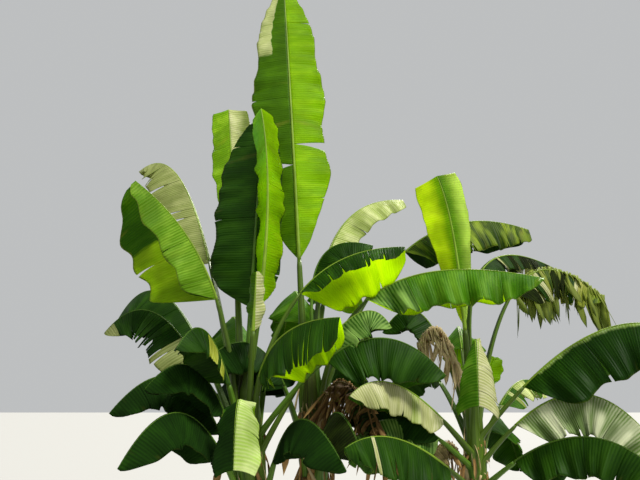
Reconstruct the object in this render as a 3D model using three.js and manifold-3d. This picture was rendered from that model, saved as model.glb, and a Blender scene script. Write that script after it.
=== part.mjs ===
// A banana plant: a clump of three false stems on one root, and the leaves of their crowns.
// Lengths are in millimetres, +Z is up, and the origin is on the ground under the main stem.
// Azimuths are in degrees, from +X towards +Y, so 270 points to the front and 90 to the back.
import * as THREE from 'three';
import { mergeVertices } from 'three/addons/utils/BufferGeometryUtils.js';
import Module from 'manifold-3d';

const wasm = await Module();
wasm.setup();

// Driving dimensions
const GAP = 0.3;
const LEAF_CUT = 1.2;
const SCRAP_VOLUME = 400;
const WELD_DISTANCE = 1e-3;
const SHORTEST_EDGE = 0.02;

// Stalks, from the foot at the stem to the neck where the blade starts
const STALK_SEAT = 8;
const STALK_BASE = { halfWidth: 30, depth: 38 };
const STALK_NECK = { halfWidth: 15, depth: 26 };
const STALK_CHANNEL = 28;
const STALK_INTERVALS = 3;

// Blades: shares of the leaf's length, of the blade's length and of the depth at the neck
const BLADE_INTERVALS = 8;
const THICKNESS_SHARE = 0.0105;
const TIP_FALL = 0.52;
const TIP_ROUNDNESS = 0.75;
const MARGIN_POWER = 2.2;
const RIB_DEPTH_SHARE = 0.55;
const RIB_TIP_SHARE = 0.3;
const RUFFLE_WAVES = 23;
const MIN_HALF_WIDTH = 12;
const THIN_BELOW_WIDTH = 160;
const TEAR_HALF_GAP = 0.012;
const TEAR_CLEARANCE = 1.4 * TEAR_HALF_GAP;
const CURVE_DIVISIONS = 120;

// Stems lean evenly from foot to crown; a radius is given at the foot, the crown and the top.
const STEM_SIDES = 14;
const FLARE_SHARE = 0.22;
const FLARE_HEIGHT = 90;
const FLARE_LEVELS = [0, 50, 130, 300, 700];
const STEMS = {
  main: { foot: [0, 0], crown: [-55, 0], height: 1500, top: 1760, radii: [92, 56, 26] },
  left: { foot: [-200, -95], crown: [-370, -150], height: 1420, top: 1640, radii: [94, 62, 28] },
  right: { foot: [770, 60], crown: [815, 60], height: 1300, top: 1560, radii: [68, 44, 22] },
};

const COLOURS = {
  stem: 0x7c8a32,
  green: 0x4d8a22,
  deep: 0x2f5e1c,
  bright: 0x8fbe1e,
  pale: 0xa9bf74,
  dry: 0xa98d5c,
};
const STEM_ROUGHNESS = 0.6;
const LEAF_ROUGHNESS = 0.5;

const { lerp, degToRad: radians } = THREE.MathUtils;
const clamp = (value) => THREE.MathUtils.clamp(value, 0, 1);

/** Centre of a stem at a height. */
function stemAxis({ foot, crown, height: crownHeight }, height) {
  const share = height / crownHeight;
  return new THREE.Vector3(lerp(foot[0], crown[0], share), lerp(foot[1], crown[1], share), height);
}

/** Radius of a stem at a height, with the swelling at its foot. */
function stemRadius({ radii: [foot, crown, tip], height: crownHeight, top }, height) {
  if (height > crownHeight) {
    return lerp(crown, tip, (height - crownHeight) / (top - crownHeight));
  }
  return lerp(foot, crown, height / crownHeight) + FLARE_SHARE * foot * Math.exp(-height / FLARE_HEIGHT);
}

/** Solid of a closed triangle mesh. */
function toSolid(geometry) {
  const merged = mergeVertices(geometry, WELD_DISTANCE);
  return new wasm.Manifold(new wasm.Mesh({
    numProp: 3,
    vertProperties: new Float32Array(merged.attributes.position.array),
    triVerts: new Uint32Array(merged.index.array),
  }));
}

/** Triangle mesh of a solid. */
function toGeometry(solid) {
  const { vertProperties, triVerts } = solid.getMesh();
  const geometry = new THREE.BufferGeometry();
  geometry.setAttribute('position', new THREE.BufferAttribute(new Float32Array(vertProperties), 3));
  geometry.setIndex(new THREE.BufferAttribute(new Uint32Array(triVerts), 1));
  return geometry;
}

/** Closed solid over a list of rings with the same number of points each. */
function loft(rings) {
  const count = rings[0].length;
  const last = rings.length - 1;
  const points = rings.flat();
  const faces = [];
  for (let i = 0; i < last; i += 1) {
    for (let j = 0; j < count; j += 1) {
      const k = (j + 1) % count;
      const [a, b, c, d] = [i * count + j, i * count + k, (i + 1) * count + k, (i + 1) * count + j];
      faces.push(a, b, c, a, c, d);
    }
  }
  [0, last].forEach((end) => {
    const centre = new THREE.Vector3();
    rings[end].forEach((point) => centre.addScaledVector(point, 1 / count));
    points.push(centre);
    for (let j = 0; j < count; j += 1) {
      const [a, b] = [end * count + j, end * count + (j + 1) % count];
      faces.push(points.length - 1, end ? a : b, end ? b : a);
    }
  });
  const geometry = new THREE.BufferGeometry().setFromPoints(points);
  geometry.setIndex(faces);
  return toSolid(geometry);
}

/** The stem from its flat cut at the ground to its top, grown by a margin. */
function stemSolid(stem, margin = 0) {
  const { height, top } = stem;
  const levels = [...FLARE_LEVELS, 0.8 * height, height, (height + top) / 2, top];
  const rings = levels.map((level) => {
    const centre = stemAxis(stem, level);
    centre.z += level === top ? margin : 0;
    const radius = stemRadius(stem, level) + margin;
    return Array.from({ length: STEM_SIDES }, (_, side) => {
      const angle = side / STEM_SIDES * 2 * Math.PI;
      return new THREE.Vector3(Math.cos(angle) * radius, Math.sin(angle) * radius, 0).add(centre);
    });
  });
  return loft(rings);
}

/** Midrib of a leaf: from the stem through its crest to its tip, both given as [out, up]. */
function midrib(stem, leaf) {
  const angle = radians(leaf.azimuth);
  const out = new THREE.Vector3(Math.cos(angle), Math.sin(angle), 0);
  const across = new THREE.Vector3(-out.y, out.x, 0);
  const place = ([distance, height], aside = 0) => new THREE.Vector3(...stem.crown, height)
    .addScaledVector(out, distance)
    .addScaledVector(across, aside);
  const foot = stemAxis(stem, leaf.foot).addScaledVector(out, stemRadius(stem, leaf.foot) - STALK_SEAT);
  const crest = place(leaf.crest, leaf.bow);
  const tip = place(leaf.tip);
  const pull = crest.multiplyScalar(2).addScaledVector(foot, -0.5).addScaledVector(tip, -0.5);
  const curve = new THREE.QuadraticBezierCurve3(foot, pull, tip);
  curve.arcLengthDivisions = CURVE_DIVISIONS;
  return curve;
}

/** Half-width of a blade as a share of the widest, from its base (0) to its tip (1). */
function outline(u, { blunt, rise }) {
  const opening = 1 - (1 - clamp(u / rise)) ** MARGIN_POWER;
  const closing = (1 - clamp((u - TIP_FALL) / (1 - TIP_FALL)) ** MARGIN_POWER) ** TIP_ROUNDNESS;
  return opening * lerp(closing, 1, blunt);
}

/** Stations along a blade: even steps, and three more at each tear. */
function bladeStations({ tears }) {
  const cuts = tears.flatMap(([side, at, depth, wedge = 1]) => [
    { u: at - TEAR_HALF_GAP * wedge },
    { u: at, side, depth },
    { u: at + TEAR_HALF_GAP * wedge },
  ]);
  const even = Array.from({ length: BLADE_INTERVALS + 1 }, (_, i) => ({ u: i / BLADE_INTERVALS }))
    .filter(({ u }) => cuts.every((cut) => Math.abs(cut.u - u) > TEAR_CLEARANCE));
  return [...even, ...cuts].sort((a, b) => a.u - b.u);
}

/** Middle and margin of one half in the leaf's own section: it leaves the rib at fold and turns by curl. */
function halfSection(halfWidth, fold, curl = 0) {
  const turn = Math.abs(curl) < 1e-3 ? 1e-3 : curl;
  return [0.5, 1].map((share) => {
    const tilt = fold + turn * share;
    return {
      x: halfWidth * (Math.sin(tilt) - Math.sin(fold)) / turn,
      z: halfWidth * (Math.cos(fold) - Math.cos(tilt)) / turn,
      tilt,
    };
  });
}

/** One leaf as a closed solid: a channelled stalk that runs on as the rib of a folded blade. */
function leafSolid(stem, leaf, margin = 0) {
  const curve = midrib(stem, leaf);
  const length = curve.getLength();
  const neck = leaf.stalk / length;
  const thickness = length * THICKNESS_SHARE;
  const side = new THREE.Vector3(Math.sin(radians(leaf.azimuth)), -Math.cos(radians(leaf.azimuth)), 0);

  const ring = (share, depth, keel, [leftSection, rightSection]) => {
    const centre = curve.getPointAt(clamp(share));
    const along = curve.getTangentAt(clamp(share));
    const blade = clamp((share - neck) / (1 - neck));
    const right = side.clone().addScaledVector(along, -side.dot(along)).normalize();
    right.applyAxisAngle(along, radians(leaf.roll + leaf.twist * blade));
    const up = new THREE.Vector3().crossVectors(right, along);
    const at = (x, z) => centre.clone().addScaledVector(right, x).addScaledVector(up, z);
    const half = (sign, [middle, edge]) => {
      const off = ({ x, z, tilt }, face) => at(
        sign * (x - face * Math.sin(tilt) * depth / 2),
        z + face * Math.cos(tilt) * depth / 2,
      );
      return [off(middle, 1), off(edge, 1), off(edge, -1)];
    };
    return [at(0, depth / 2), ...half(1, rightSection), at(0, -keel), ...half(-1, leftSection).reverse()];
  };

  const stalk = Array.from({ length: STALK_INTERVALS }, (_, i) => {
    const share = i / STALK_INTERVALS;
    const width = lerp(STALK_BASE.halfWidth, STALK_NECK.halfWidth, Math.sqrt(share)) * leaf.stout + margin;
    const depth = lerp(STALK_BASE.depth, STALK_NECK.depth, share) * leaf.stout + 2 * margin;
    const section = halfSection(width, radians(STALK_CHANNEL));
    return ring(share * neck, depth / 2, depth / 2, [section, section]);
  });
  const blade = bladeStations(leaf).map(({ u, side: torn, depth: tear = 0 }) => {
    const open = outline(u, leaf) * (1 + leaf.ruffle * Math.sin(u * RUFFLE_WAVES + leaf.azimuth));
    const sections = ['left', 'right'].map((name) => {
      const { fold, curl = 0, share = 1 } = leaf[name];
      const kept = torn === name ? 1 - tear : 1;
      const halfWidth = Math.max(leaf.width / 2 * share * open * kept, MIN_HALF_WIDTH) + margin;
      return halfSection(halfWidth, radians(lerp(...fold, u)), radians(curl));
    });
    const thin = lerp(0.5, 1, clamp(leaf.width * open / THIN_BELOW_WIDTH));
    const depth = thickness * thin + 2 * margin;
    const rib = lerp(STALK_NECK.depth * RIB_DEPTH_SHARE, thickness * RIB_TIP_SHARE, u) * leaf.stout;
    return ring(lerp(neck, 1, u), depth, depth / 2 + rib, sections);
  });
  return loft([...stalk, ...blade]);
}

const LEAF_DEFAULTS = {
  bow: 0,
  roll: 0,
  twist: 0,
  blunt: 0.1,
  rise: 0.18,
  ruffle: 0.05,
  stout: 1,
  tears: [],
  colour: 'green',
};

const leaves = [];

/** Adds a leaf to the plant. */
function addLeaf(name, stem, sizes) {
  leaves.push({ ...LEAF_DEFAULTS, name, stem, ...sizes });
}

/** A pair of halves that hang or rise alike. */
const pair = (fold, tipFold = fold, curl = 0) => ({
  left: { fold: [fold, tipFold], curl },
  right: { fold: [fold, tipFold], curl },
});

// Upright leaves in the middle of each crown
addLeaf('leaf_tall', 'main', {
  foot: 1640, azimuth: 165, crest: [125, 3000], tip: [225, 4390], stalk: 640, width: 500,
  roll: 105, left: { fold: [8, 4], curl: 10, share: 0.9 }, right: { fold: [8, 4], curl: 10 },
  rise: 0.35, ruffle: 0.07, colour: 'bright',
  tears: [['left', 0.37, 0.95], ['right', 0.3, 0.95, 2.5]],
});
addLeaf('leaf_shade', 'left', {
  foot: 1530, azimuth: 85, crest: [25, 2385], bow: 6, tip: [91, 3190], stalk: 440, width: 530,
  roll: 183, left: { fold: [14, 6], curl: 10, share: 0.55 }, right: { fold: [14, 6], curl: 10 },
  ruffle: 0.03, colour: 'deep',
});
addLeaf('leaf_bright', 'left', {
  foot: 1540, azimuth: 278, crest: [110, 2400], bow: 60, tip: [80, 3150], stalk: 420, width: 320,
  roll: -8, ...pair(62, 52, 12), blunt: 0.7, colour: 'bright',
});
addLeaf('leaf_behind', 'left', {
  foot: 1480, azimuth: 131, crest: [310, 2600], bow: -40, tip: [410, 3400], stalk: 800, width: 360,
  roll: 139, ...pair(36, 30), blunt: 0.7, rise: 0.9, colour: 'pale',
});
addLeaf('leaf_young', 'left', {
  foot: 1400, azimuth: 281, crest: [215, 1900], tip: [255, 2100], stalk: 440, width: 150,
  roll: -11, ...pair(52, 40, 20), rise: 0.1, stout: 0.8, colour: 'pale',
});
addLeaf('leaf_stand', 'right', {
  foot: 1440, azimuth: 226, crest: [83, 2292], bow: 40, tip: [161, 2789], stalk: 430, width: 400,
  roll: 30, left: { fold: [50, 36], curl: 15 }, right: { fold: [36, 26], curl: 10 },
  blunt: 0.85, rise: 1.1, colour: 'bright',
});

// Arching leaves of the left stem
addLeaf('leaf_left', 'left', {
  foot: 1400, azimuth: 211, crest: [250, 2110], tip: [665, 2550], stalk: 610, width: 560,
  left: { fold: [-74, -70], curl: -6, share: 0.62 }, right: { fold: [-50, -46], curl: -10, share: 1.15 },
  blunt: 0.2,
});
addLeaf('leaf_left_back', 'left', {
  foot: 1440, azimuth: 153, crest: [600, 2790], bow: -70, tip: [1000, 2995], stalk: 900, width: 500,
  left: { fold: [-46, -54], curl: -14 }, right: { fold: [-42, -40], curl: -10 },
  tears: [['left', 0.32, 0.8], ['left', 0.62, 0.7], ['right', 0.45, 0.7]], colour: 'pale',
});
addLeaf('leaf_sunlit', 'left', {
  foot: 1500, azimuth: 352, crest: [306, 2100], bow: 15, tip: [824, 2272], stalk: 590, width: 500,
  left: { fold: [-60, -66], curl: -10 }, right: { fold: [-44, -48], curl: -10, share: 0.55 },
  blunt: 0.3, colour: 'bright',
});
addLeaf('leaf_front', 'left', {
  foot: 1330, azimuth: 312, crest: [250, 1730], bow: -50, tip: [670, 1835], stalk: 300, width: 430,
  left: { fold: [-44, -56], curl: -20 }, right: { fold: [-58, -70], curl: -14 }, blunt: 0.4,
  tears: [['right', 0.7, 0.6]],
});
addLeaf('leaf_dark_arch', 'left', {
  foot: 1340, azimuth: 350, crest: [567, 1778], bow: -25, tip: [981, 1608], stalk: 480, width: 420,
  left: { fold: [-48, -60], curl: -10 }, right: { fold: [-62, -72], curl: -14 }, colour: 'deep',
});
addLeaf('leaf_yellow', 'left', {
  foot: 1300, azimuth: 245, crest: [330, 1770], tip: [560, 1700], stalk: 300, width: 310,
  left: { fold: [-50, -60], curl: -10 }, right: { fold: [-36, -46] }, colour: 'dry',
});
addLeaf('leaf_mid_left', 'left', {
  foot: 1240, azimuth: 178, crest: [450, 1900], tip: [785, 1835], stalk: 420, width: 400,
  left: { fold: [-52, -62], curl: -12 }, right: { fold: [-40, -50] },
  tears: [['left', 0.5, 0.7]], colour: 'deep',
});
addLeaf('leaf_left_low_back', 'left', {
  foot: 1300, azimuth: 154, crest: [620, 2080], bow: -30, tip: [1000, 1960], stalk: 640, width: 390,
  ...pair(-46, -56, -12), colour: 'deep',
});
addLeaf('leaf_shadow_upper', 'left', {
  foot: 1120, azimuth: 200, crest: [330, 1590], tip: [640, 1440], stalk: 240, width: 360,
  ...pair(-40, -56, -14), colour: 'deep',
});
addLeaf('leaf_shadow_lower', 'left', {
  foot: 1040, azimuth: 227, crest: [350, 1440], tip: [640, 1240], stalk: 210, width: 340,
  ...pair(-38, -54, -14), colour: 'deep',
});
addLeaf('leaf_hanging', 'left', {
  foot: 1120, azimuth: 272, crest: [300, 1500], tip: [430, 1230], stalk: 300, width: 310,
  left: { fold: [-30, -20] }, right: { fold: [-44, -34] }, blunt: 0.5, rise: 0.9,
});
addLeaf('leaf_ribbed_middle', 'left', {
  foot: 1270, azimuth: 354, crest: [486, 1874], tip: [735, 1848], stalk: 540, width: 330,
  ...pair(-50, -60, -12),
});

// Arching leaves of the main stem
addLeaf('leaf_back_sunlit', 'main', {
  foot: 1580, azimuth: 0, crest: [30, 2250], bow: 20, tip: [362, 2363], stalk: 560, width: 340,
  ...pair(-52, -58, -10), colour: 'deep',
});
addLeaf('leaf_right_back', 'main', {
  foot: 1580, azimuth: 37, crest: [250, 2500], bow: 85, tip: [805, 2861], stalk: 800, width: 320,
  left: { fold: [-36, -40] }, right: { fold: [-46, -52], curl: -12 }, blunt: 0.4, colour: 'pale',
});
addLeaf('leaf_long', 'main', {
  foot: 1500, azimuth: 348, crest: [420, 2085], bow: -45, tip: [1235, 2105], stalk: 600, width: 440,
  left: { fold: [-44, -54], curl: -14 }, right: { fold: [-60, -66], curl: -12 }, ruffle: 0.07,
  tears: [['left', 0.55, 0.7]],
});
addLeaf('leaf_upper_right', 'main', {
  foot: 1500, azimuth: 16, crest: [700, 2460], bow: 30, tip: [1550, 2615], stalk: 1060, width: 480,
  left: { fold: [-46, -50], curl: -12 }, right: { fold: [-60, -64], curl: -12 }, blunt: 0.4,
  tears: [['right', 0.35, 0.6], ['left', 0.6, 0.7]],
});
addLeaf('leaf_dead_middle', 'main', {
  foot: 1400, azimuth: 322, crest: [210, 1590], tip: [450, 1330], stalk: 150, width: 270,
  ...pair(-24, -32, -6), ruffle: 0.12, colour: 'dry', stout: 0.8,
});
addLeaf('leaf_back_high', 'main', {
  foot: 1530, azimuth: 72, crest: [430, 2330], tip: [1010, 2140], stalk: 560, width: 450,
  ...pair(-34, -50, -14), tears: [['right', 0.5, 0.7]],
});
addLeaf('leaf_back_middle', 'main', {
  foot: 1470, azimuth: 104, crest: [440, 2180], tip: [980, 1850], stalk: 500, width: 450,
  ...pair(-30, -50, -16), tears: [['left', 0.42, 0.7]],
});
addLeaf('leaf_back_low', 'main', {
  foot: 1360, azimuth: 58, crest: [400, 1760], tip: [820, 1380], stalk: 360, width: 400,
  ...pair(-40, -58, -14), colour: 'deep',
});
addLeaf('leaf_back_left', 'left', {
  foot: 1360, azimuth: 112, crest: [420, 1980], tip: [880, 1640], stalk: 420, width: 420,
  ...pair(-36, -54, -14), tears: [['right', 0.55, 0.7]],
});
addLeaf('leaf_back_left_low', 'left', {
  foot: 1160, azimuth: 138, crest: [420, 1600], tip: [800, 1230], stalk: 330, width: 380,
  ...pair(-38, -56, -12), colour: 'deep',
});

// Leaves of the right stem
addLeaf('leaf_torn', 'right', {
  foot: 1420, azimuth: 1, crest: [380, 2180], tip: [843, 2060], stalk: 720, width: 420,
  ...pair(-66, -72, -10), colour: 'dry',
  tears: [['right', 0.2, 0.8], ['right', 0.45, 0.8], ['left', 0.33, 0.8]],
});
addLeaf('leaf_torn_back', 'right', {
  foot: 1460, azimuth: 24, crest: [180, 2260], tip: [857, 2312], stalk: 830, width: 250,
  ...pair(-54, -60, -10), tears: [['right', 0.4, 0.7], ['left', 0.6, 0.7]], colour: 'pale',
});
addLeaf('leaf_broad', 'right', {
  foot: 1320, azimuth: 330, crest: [660, 1830], bow: 30, tip: [1100, 1710], stalk: 340, width: 520,
  left: { fold: [-40, -52], curl: -12 }, right: { fold: [-58, -66], curl: -12 }, colour: 'deep',
});
addLeaf('leaf_striped', 'right', {
  foot: 1200, azimuth: 332, crest: [520, 1530], tip: [850, 1220], stalk: 250, width: 420,
  left: { fold: [-40, -56], curl: -12 }, right: { fold: [-52, -64], curl: -12 }, colour: 'pale',
});
addLeaf('leaf_low_right', 'right', {
  foot: 1080, azimuth: 312, crest: [520, 1340], tip: [860, 1180], stalk: 220, width: 360,
  ...pair(-52, -64, -12), colour: 'deep',
});
addLeaf('leaf_bent', 'right', {
  foot: 1360, azimuth: 258, crest: [285, 1790], bow: 30, tip: [420, 1470], stalk: 430, width: 380,
  ...pair(-26, -30, -8), blunt: 0.9, rise: 2.2, colour: 'pale',
});
addLeaf('leaf_pale', 'right', {
  foot: 1240, azimuth: 214, crest: [500, 1560], tip: [830, 1515], stalk: 260, width: 330,
  left: { fold: [-56, -66], curl: -12 }, right: { fold: [-40, -52], curl: -10 }, colour: 'pale',
});
addLeaf('leaf_ribbed_low', 'right', {
  foot: 1170, azimuth: 206, crest: [430, 1400], tip: [725, 1330], stalk: 240, width: 320,
  ...pair(-50, -62, -12), colour: 'deep',
});
addLeaf('leaf_low_left', 'right', {
  foot: 1060, azimuth: 220, crest: [560, 1320], tip: [940, 1310], stalk: 240, width: 400,
  left: { fold: [-60, -70], curl: -12 }, right: { fold: [-42, -52], curl: -10 },
  tears: [['left', 0.6, 0.6]],
});
addLeaf('leaf_behind_long', 'right', {
  foot: 1400, azimuth: 163, crest: [220, 1970], tip: [470, 1880], stalk: 430, width: 280,
  ...pair(-52, -62, -10), colour: 'deep',
});
addLeaf('leaf_dead', 'right', {
  foot: 1400, azimuth: 192, crest: [120, 1850], tip: [290, 1790], stalk: 340, width: 220,
  ...pair(-70, -74, -4), ruffle: 0.14, colour: 'dry', stout: 0.8,
});
addLeaf('leaf_small', 'right', {
  foot: 1330, azimuth: 40, crest: [165, 1590], tip: [290, 1740], stalk: 250, width: 180,
  roll: 20, ...pair(30, 20), stout: 0.8, colour: 'bright',
});
addLeaf('leaf_torn_low_back', 'right', {
  foot: 1240, azimuth: 26, crest: [350, 1590], tip: [590, 1520], stalk: 290, width: 260,
  ...pair(-44, -54, -10), tears: [['right', 0.5, 0.7]], colour: 'pale', stout: 0.8,
});
addLeaf('leaf_dead_low', 'right', {
  foot: 1100, azimuth: 186, crest: [150, 1290], tip: [300, 1110], stalk: 140, width: 180,
  ...pair(-64, -70, -4), ruffle: 0.14, colour: 'dry', stout: 0.8,
});
addLeaf('leaf_back_right_high', 'right', {
  foot: 1400, azimuth: 78, crest: [400, 1950], tip: [840, 1690], stalk: 440, width: 420,
  ...pair(-36, -52, -14), tears: [['left', 0.5, 0.7]],
});
addLeaf('leaf_back_right_middle', 'right', {
  foot: 1290, azimuth: 205, crest: [300, 1760], tip: [620, 1640], stalk: 360, width: 400,
  ...pair(-36, -54, -14), colour: 'deep',
});
addLeaf('leaf_back_right_low', 'right', {
  foot: 1110, azimuth: 54, crest: [420, 1400], tip: [800, 1080], stalk: 300, width: 360,
  ...pair(-38, -56, -14), colour: 'deep',
});

// Leaves deep inside the crowns
addLeaf('leaf_shadow_middle', 'left', {
  foot: 1210, azimuth: 226, crest: [300, 1630], tip: [560, 1540], stalk: 240, width: 340,
  ...pair(-40, -54, -12), colour: 'deep',
});
addLeaf('leaf_shadow_front', 'left', {
  foot: 1020, azimuth: 322, crest: [320, 1410], tip: [600, 1220], stalk: 220, width: 330,
  ...pair(-42, -56, -12), colour: 'deep',
});
addLeaf('leaf_shadow_inner', 'left', {
  foot: 1250, azimuth: 70, crest: [300, 1800], tip: [600, 1660], stalk: 300, width: 380,
  ...pair(-34, -48, -12), colour: 'deep',
});
addLeaf('leaf_shadow_left', 'main', {
  foot: 1290, azimuth: 205, crest: [300, 1760], tip: [620, 1640], stalk: 300, width: 400,
  ...pair(-40, -54, -12), colour: 'deep',
});
addLeaf('leaf_shadow_back', 'main', {
  foot: 1260, azimuth: 150, crest: [330, 1700], tip: [700, 1480], stalk: 280, width: 400,
  ...pair(-38, -54, -12), colour: 'deep',
});
addLeaf('leaf_shadow_right', 'main', {
  foot: 1180, azimuth: 346, crest: [330, 1500], tip: [650, 1320], stalk: 230, width: 380,
  ...pair(-42, -56, -12), colour: 'deep',
});
addLeaf('leaf_shadow_low', 'main', {
  foot: 1130, azimuth: 297, crest: [260, 1440], tip: [520, 1260], stalk: 200, width: 330,
  ...pair(-42, -56, -12), colour: 'deep',
});

/** Largest single body of a solid, without loose scraps and without edges too short to matter. */
function mainBody(solid) {
  const bodies = solid.decompose().filter((body) => body.volume() > SCRAP_VOLUME);
  return bodies.sort((a, b) => b.volume() - a.volume())[0].simplify(SHORTEST_EDGE);
}

/** Whether two boxes come within the gap of each other. */
const boxesMeet = (a, b) => [0, 1, 2].every((i) => a.min[i] <= b.max[i] + GAP && b.min[i] <= a.max[i] + GAP);

/** Named mesh with a material of its own. */
function node(name, solid, colour, roughness) {
  const material = new THREE.MeshStandardMaterial({ color: COLOURS[colour], roughness, metalness: 0 });
  const mesh = new THREE.Mesh(toGeometry(solid), material);
  mesh.name = name;
  return mesh;
}

const plant = new THREE.Group();
const cutters = [];

/** Adds a piece, cut clear of the pieces before it, and keeps its grown copy to cut the next ones. */
function addPiece(name, solid, grown, colour, roughness) {
  const clear = cutters
    .filter(({ box }) => boxesMeet(box, solid.boundingBox()))
    .reduce((rest, { cutter }) => rest.subtract(cutter), solid);
  plant.add(node(name, mainBody(clear), colour, roughness));
  cutters.push({ cutter: grown, box: grown.boundingBox() });
}

Object.entries(STEMS).forEach(([name, stem]) => {
  addPiece(`stem_${name}`, stemSolid(stem), stemSolid(stem, GAP), 'stem', STEM_ROUGHNESS);
});
leaves.forEach((leaf) => {
  const stem = STEMS[leaf.stem];
  addPiece(leaf.name, leafSolid(stem, leaf), leafSolid(stem, leaf, LEAF_CUT), leaf.colour, LEAF_ROUGHNESS);
});

export default plant;
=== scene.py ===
"""A banana plant: three false stems on one root, and the leaves of their crowns.

Lengths are metres, +Z is up, and the origin is on the ground under the main stem. Azimuths are
degrees from +X towards +Y, so 270 points to the front. A leaf's left and right are seen along
the leaf from its foot, with its upper face up.
"""
import logging
import math
import zlib
from dataclasses import dataclass
from enum import Enum
from typing import Dict, List, NamedTuple, Optional, Sequence, Tuple, Union

import bpy
import numpy as np
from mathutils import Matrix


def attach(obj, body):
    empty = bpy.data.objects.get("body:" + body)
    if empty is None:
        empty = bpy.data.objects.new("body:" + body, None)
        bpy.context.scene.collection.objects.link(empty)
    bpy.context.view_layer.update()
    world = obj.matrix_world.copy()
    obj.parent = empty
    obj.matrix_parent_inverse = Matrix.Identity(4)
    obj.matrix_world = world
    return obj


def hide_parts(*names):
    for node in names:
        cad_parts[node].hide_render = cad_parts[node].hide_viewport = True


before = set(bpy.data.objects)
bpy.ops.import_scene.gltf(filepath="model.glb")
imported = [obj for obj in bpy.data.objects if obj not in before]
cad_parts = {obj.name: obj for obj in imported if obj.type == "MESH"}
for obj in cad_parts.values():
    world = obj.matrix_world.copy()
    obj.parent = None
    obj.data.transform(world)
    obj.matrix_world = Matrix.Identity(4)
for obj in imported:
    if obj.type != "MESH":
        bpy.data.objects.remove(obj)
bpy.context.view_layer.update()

log = logging.getLogger("banana_plant")

Colour = Tuple[float, float, float]
Pair = Tuple[float, float]
Socket = bpy.types.NodeSocket
Wire = Union[Socket, float, int, Sequence[float], bpy.types.Material]
Inputs = Dict[Union[str, int], Wire]

UV_NAME = "Blade"
BODY = "root"
DOWN = np.array((0.0, 0.0, -1.0))
LEAF_SHINE = 0.1
LEAF_RELIEF = 0.0012
WOOD_SHINE = 0.3
WOOD_RELIEF = 0.002
PLEAT_PITCH = 33.0
PLEAT_DRIFT = 9.0
PATCH_SCALE = 9.0
RAGGED_SCALE = 26.0
THROUGH_TINT = (1.0, 1.0, 0.4)
RIB_SIDES = 12
RIB_CHANNEL = 0.9
RIB_DEPTH = 0.8
RIBBON_POINTS = 7
RIBBON_THICKNESS = 0.12
RIBBON_TAPER = 0.75
RIBBON_TURN = 4.0
RIBBON_SWING = 0.9
RIBBON_BEND = 1.6
RIBBON_LENGTHS = (0.25, 1.0)
RIBBON_WIDTHS = (0.4, 1.2)


def shade(code: int, light: float = 1.0) -> Colour:
    """Linear colour of a screen colour.

    Args:
        code: The screen colour as 0xRRGGBB.
        light: The share of it that is left.

    Returns:
        Red, green and blue from 0 to 1 as light adds them up.
    """
    channels = [(code >> shift & 255) / 255 for shift in (16, 8, 0)]
    return tuple(light * (c / 12.92 if c <= 0.04045 else ((c + 0.055) / 1.055) ** 2.4) for c in channels)


def lerp(a: float, b: float, share: float) -> float:
    """The value at a share of the way from a to b."""
    return a + (b - a) * share


def unit(vectors: np.ndarray) -> np.ndarray:
    """The same directions with length one."""
    return vectors / np.linalg.norm(vectors, axis=-1, keepdims=True)


def put(name: str, data: bpy.types.ID) -> bpy.types.Object:
    """Puts a mesh, lamp or camera into the scene as an object."""
    shown = bpy.data.objects.new(name, data)
    bpy.context.scene.collection.objects.link(shown)
    return shown


def read(items: bpy.types.bpy_prop_collection, key: str, kind: type, size: int = 1) -> np.ndarray:
    """The values of a key over a collection, with size numbers for each item."""
    values = np.empty(size * len(items), kind)
    items.foreach_get(key, values)
    return values


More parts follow.
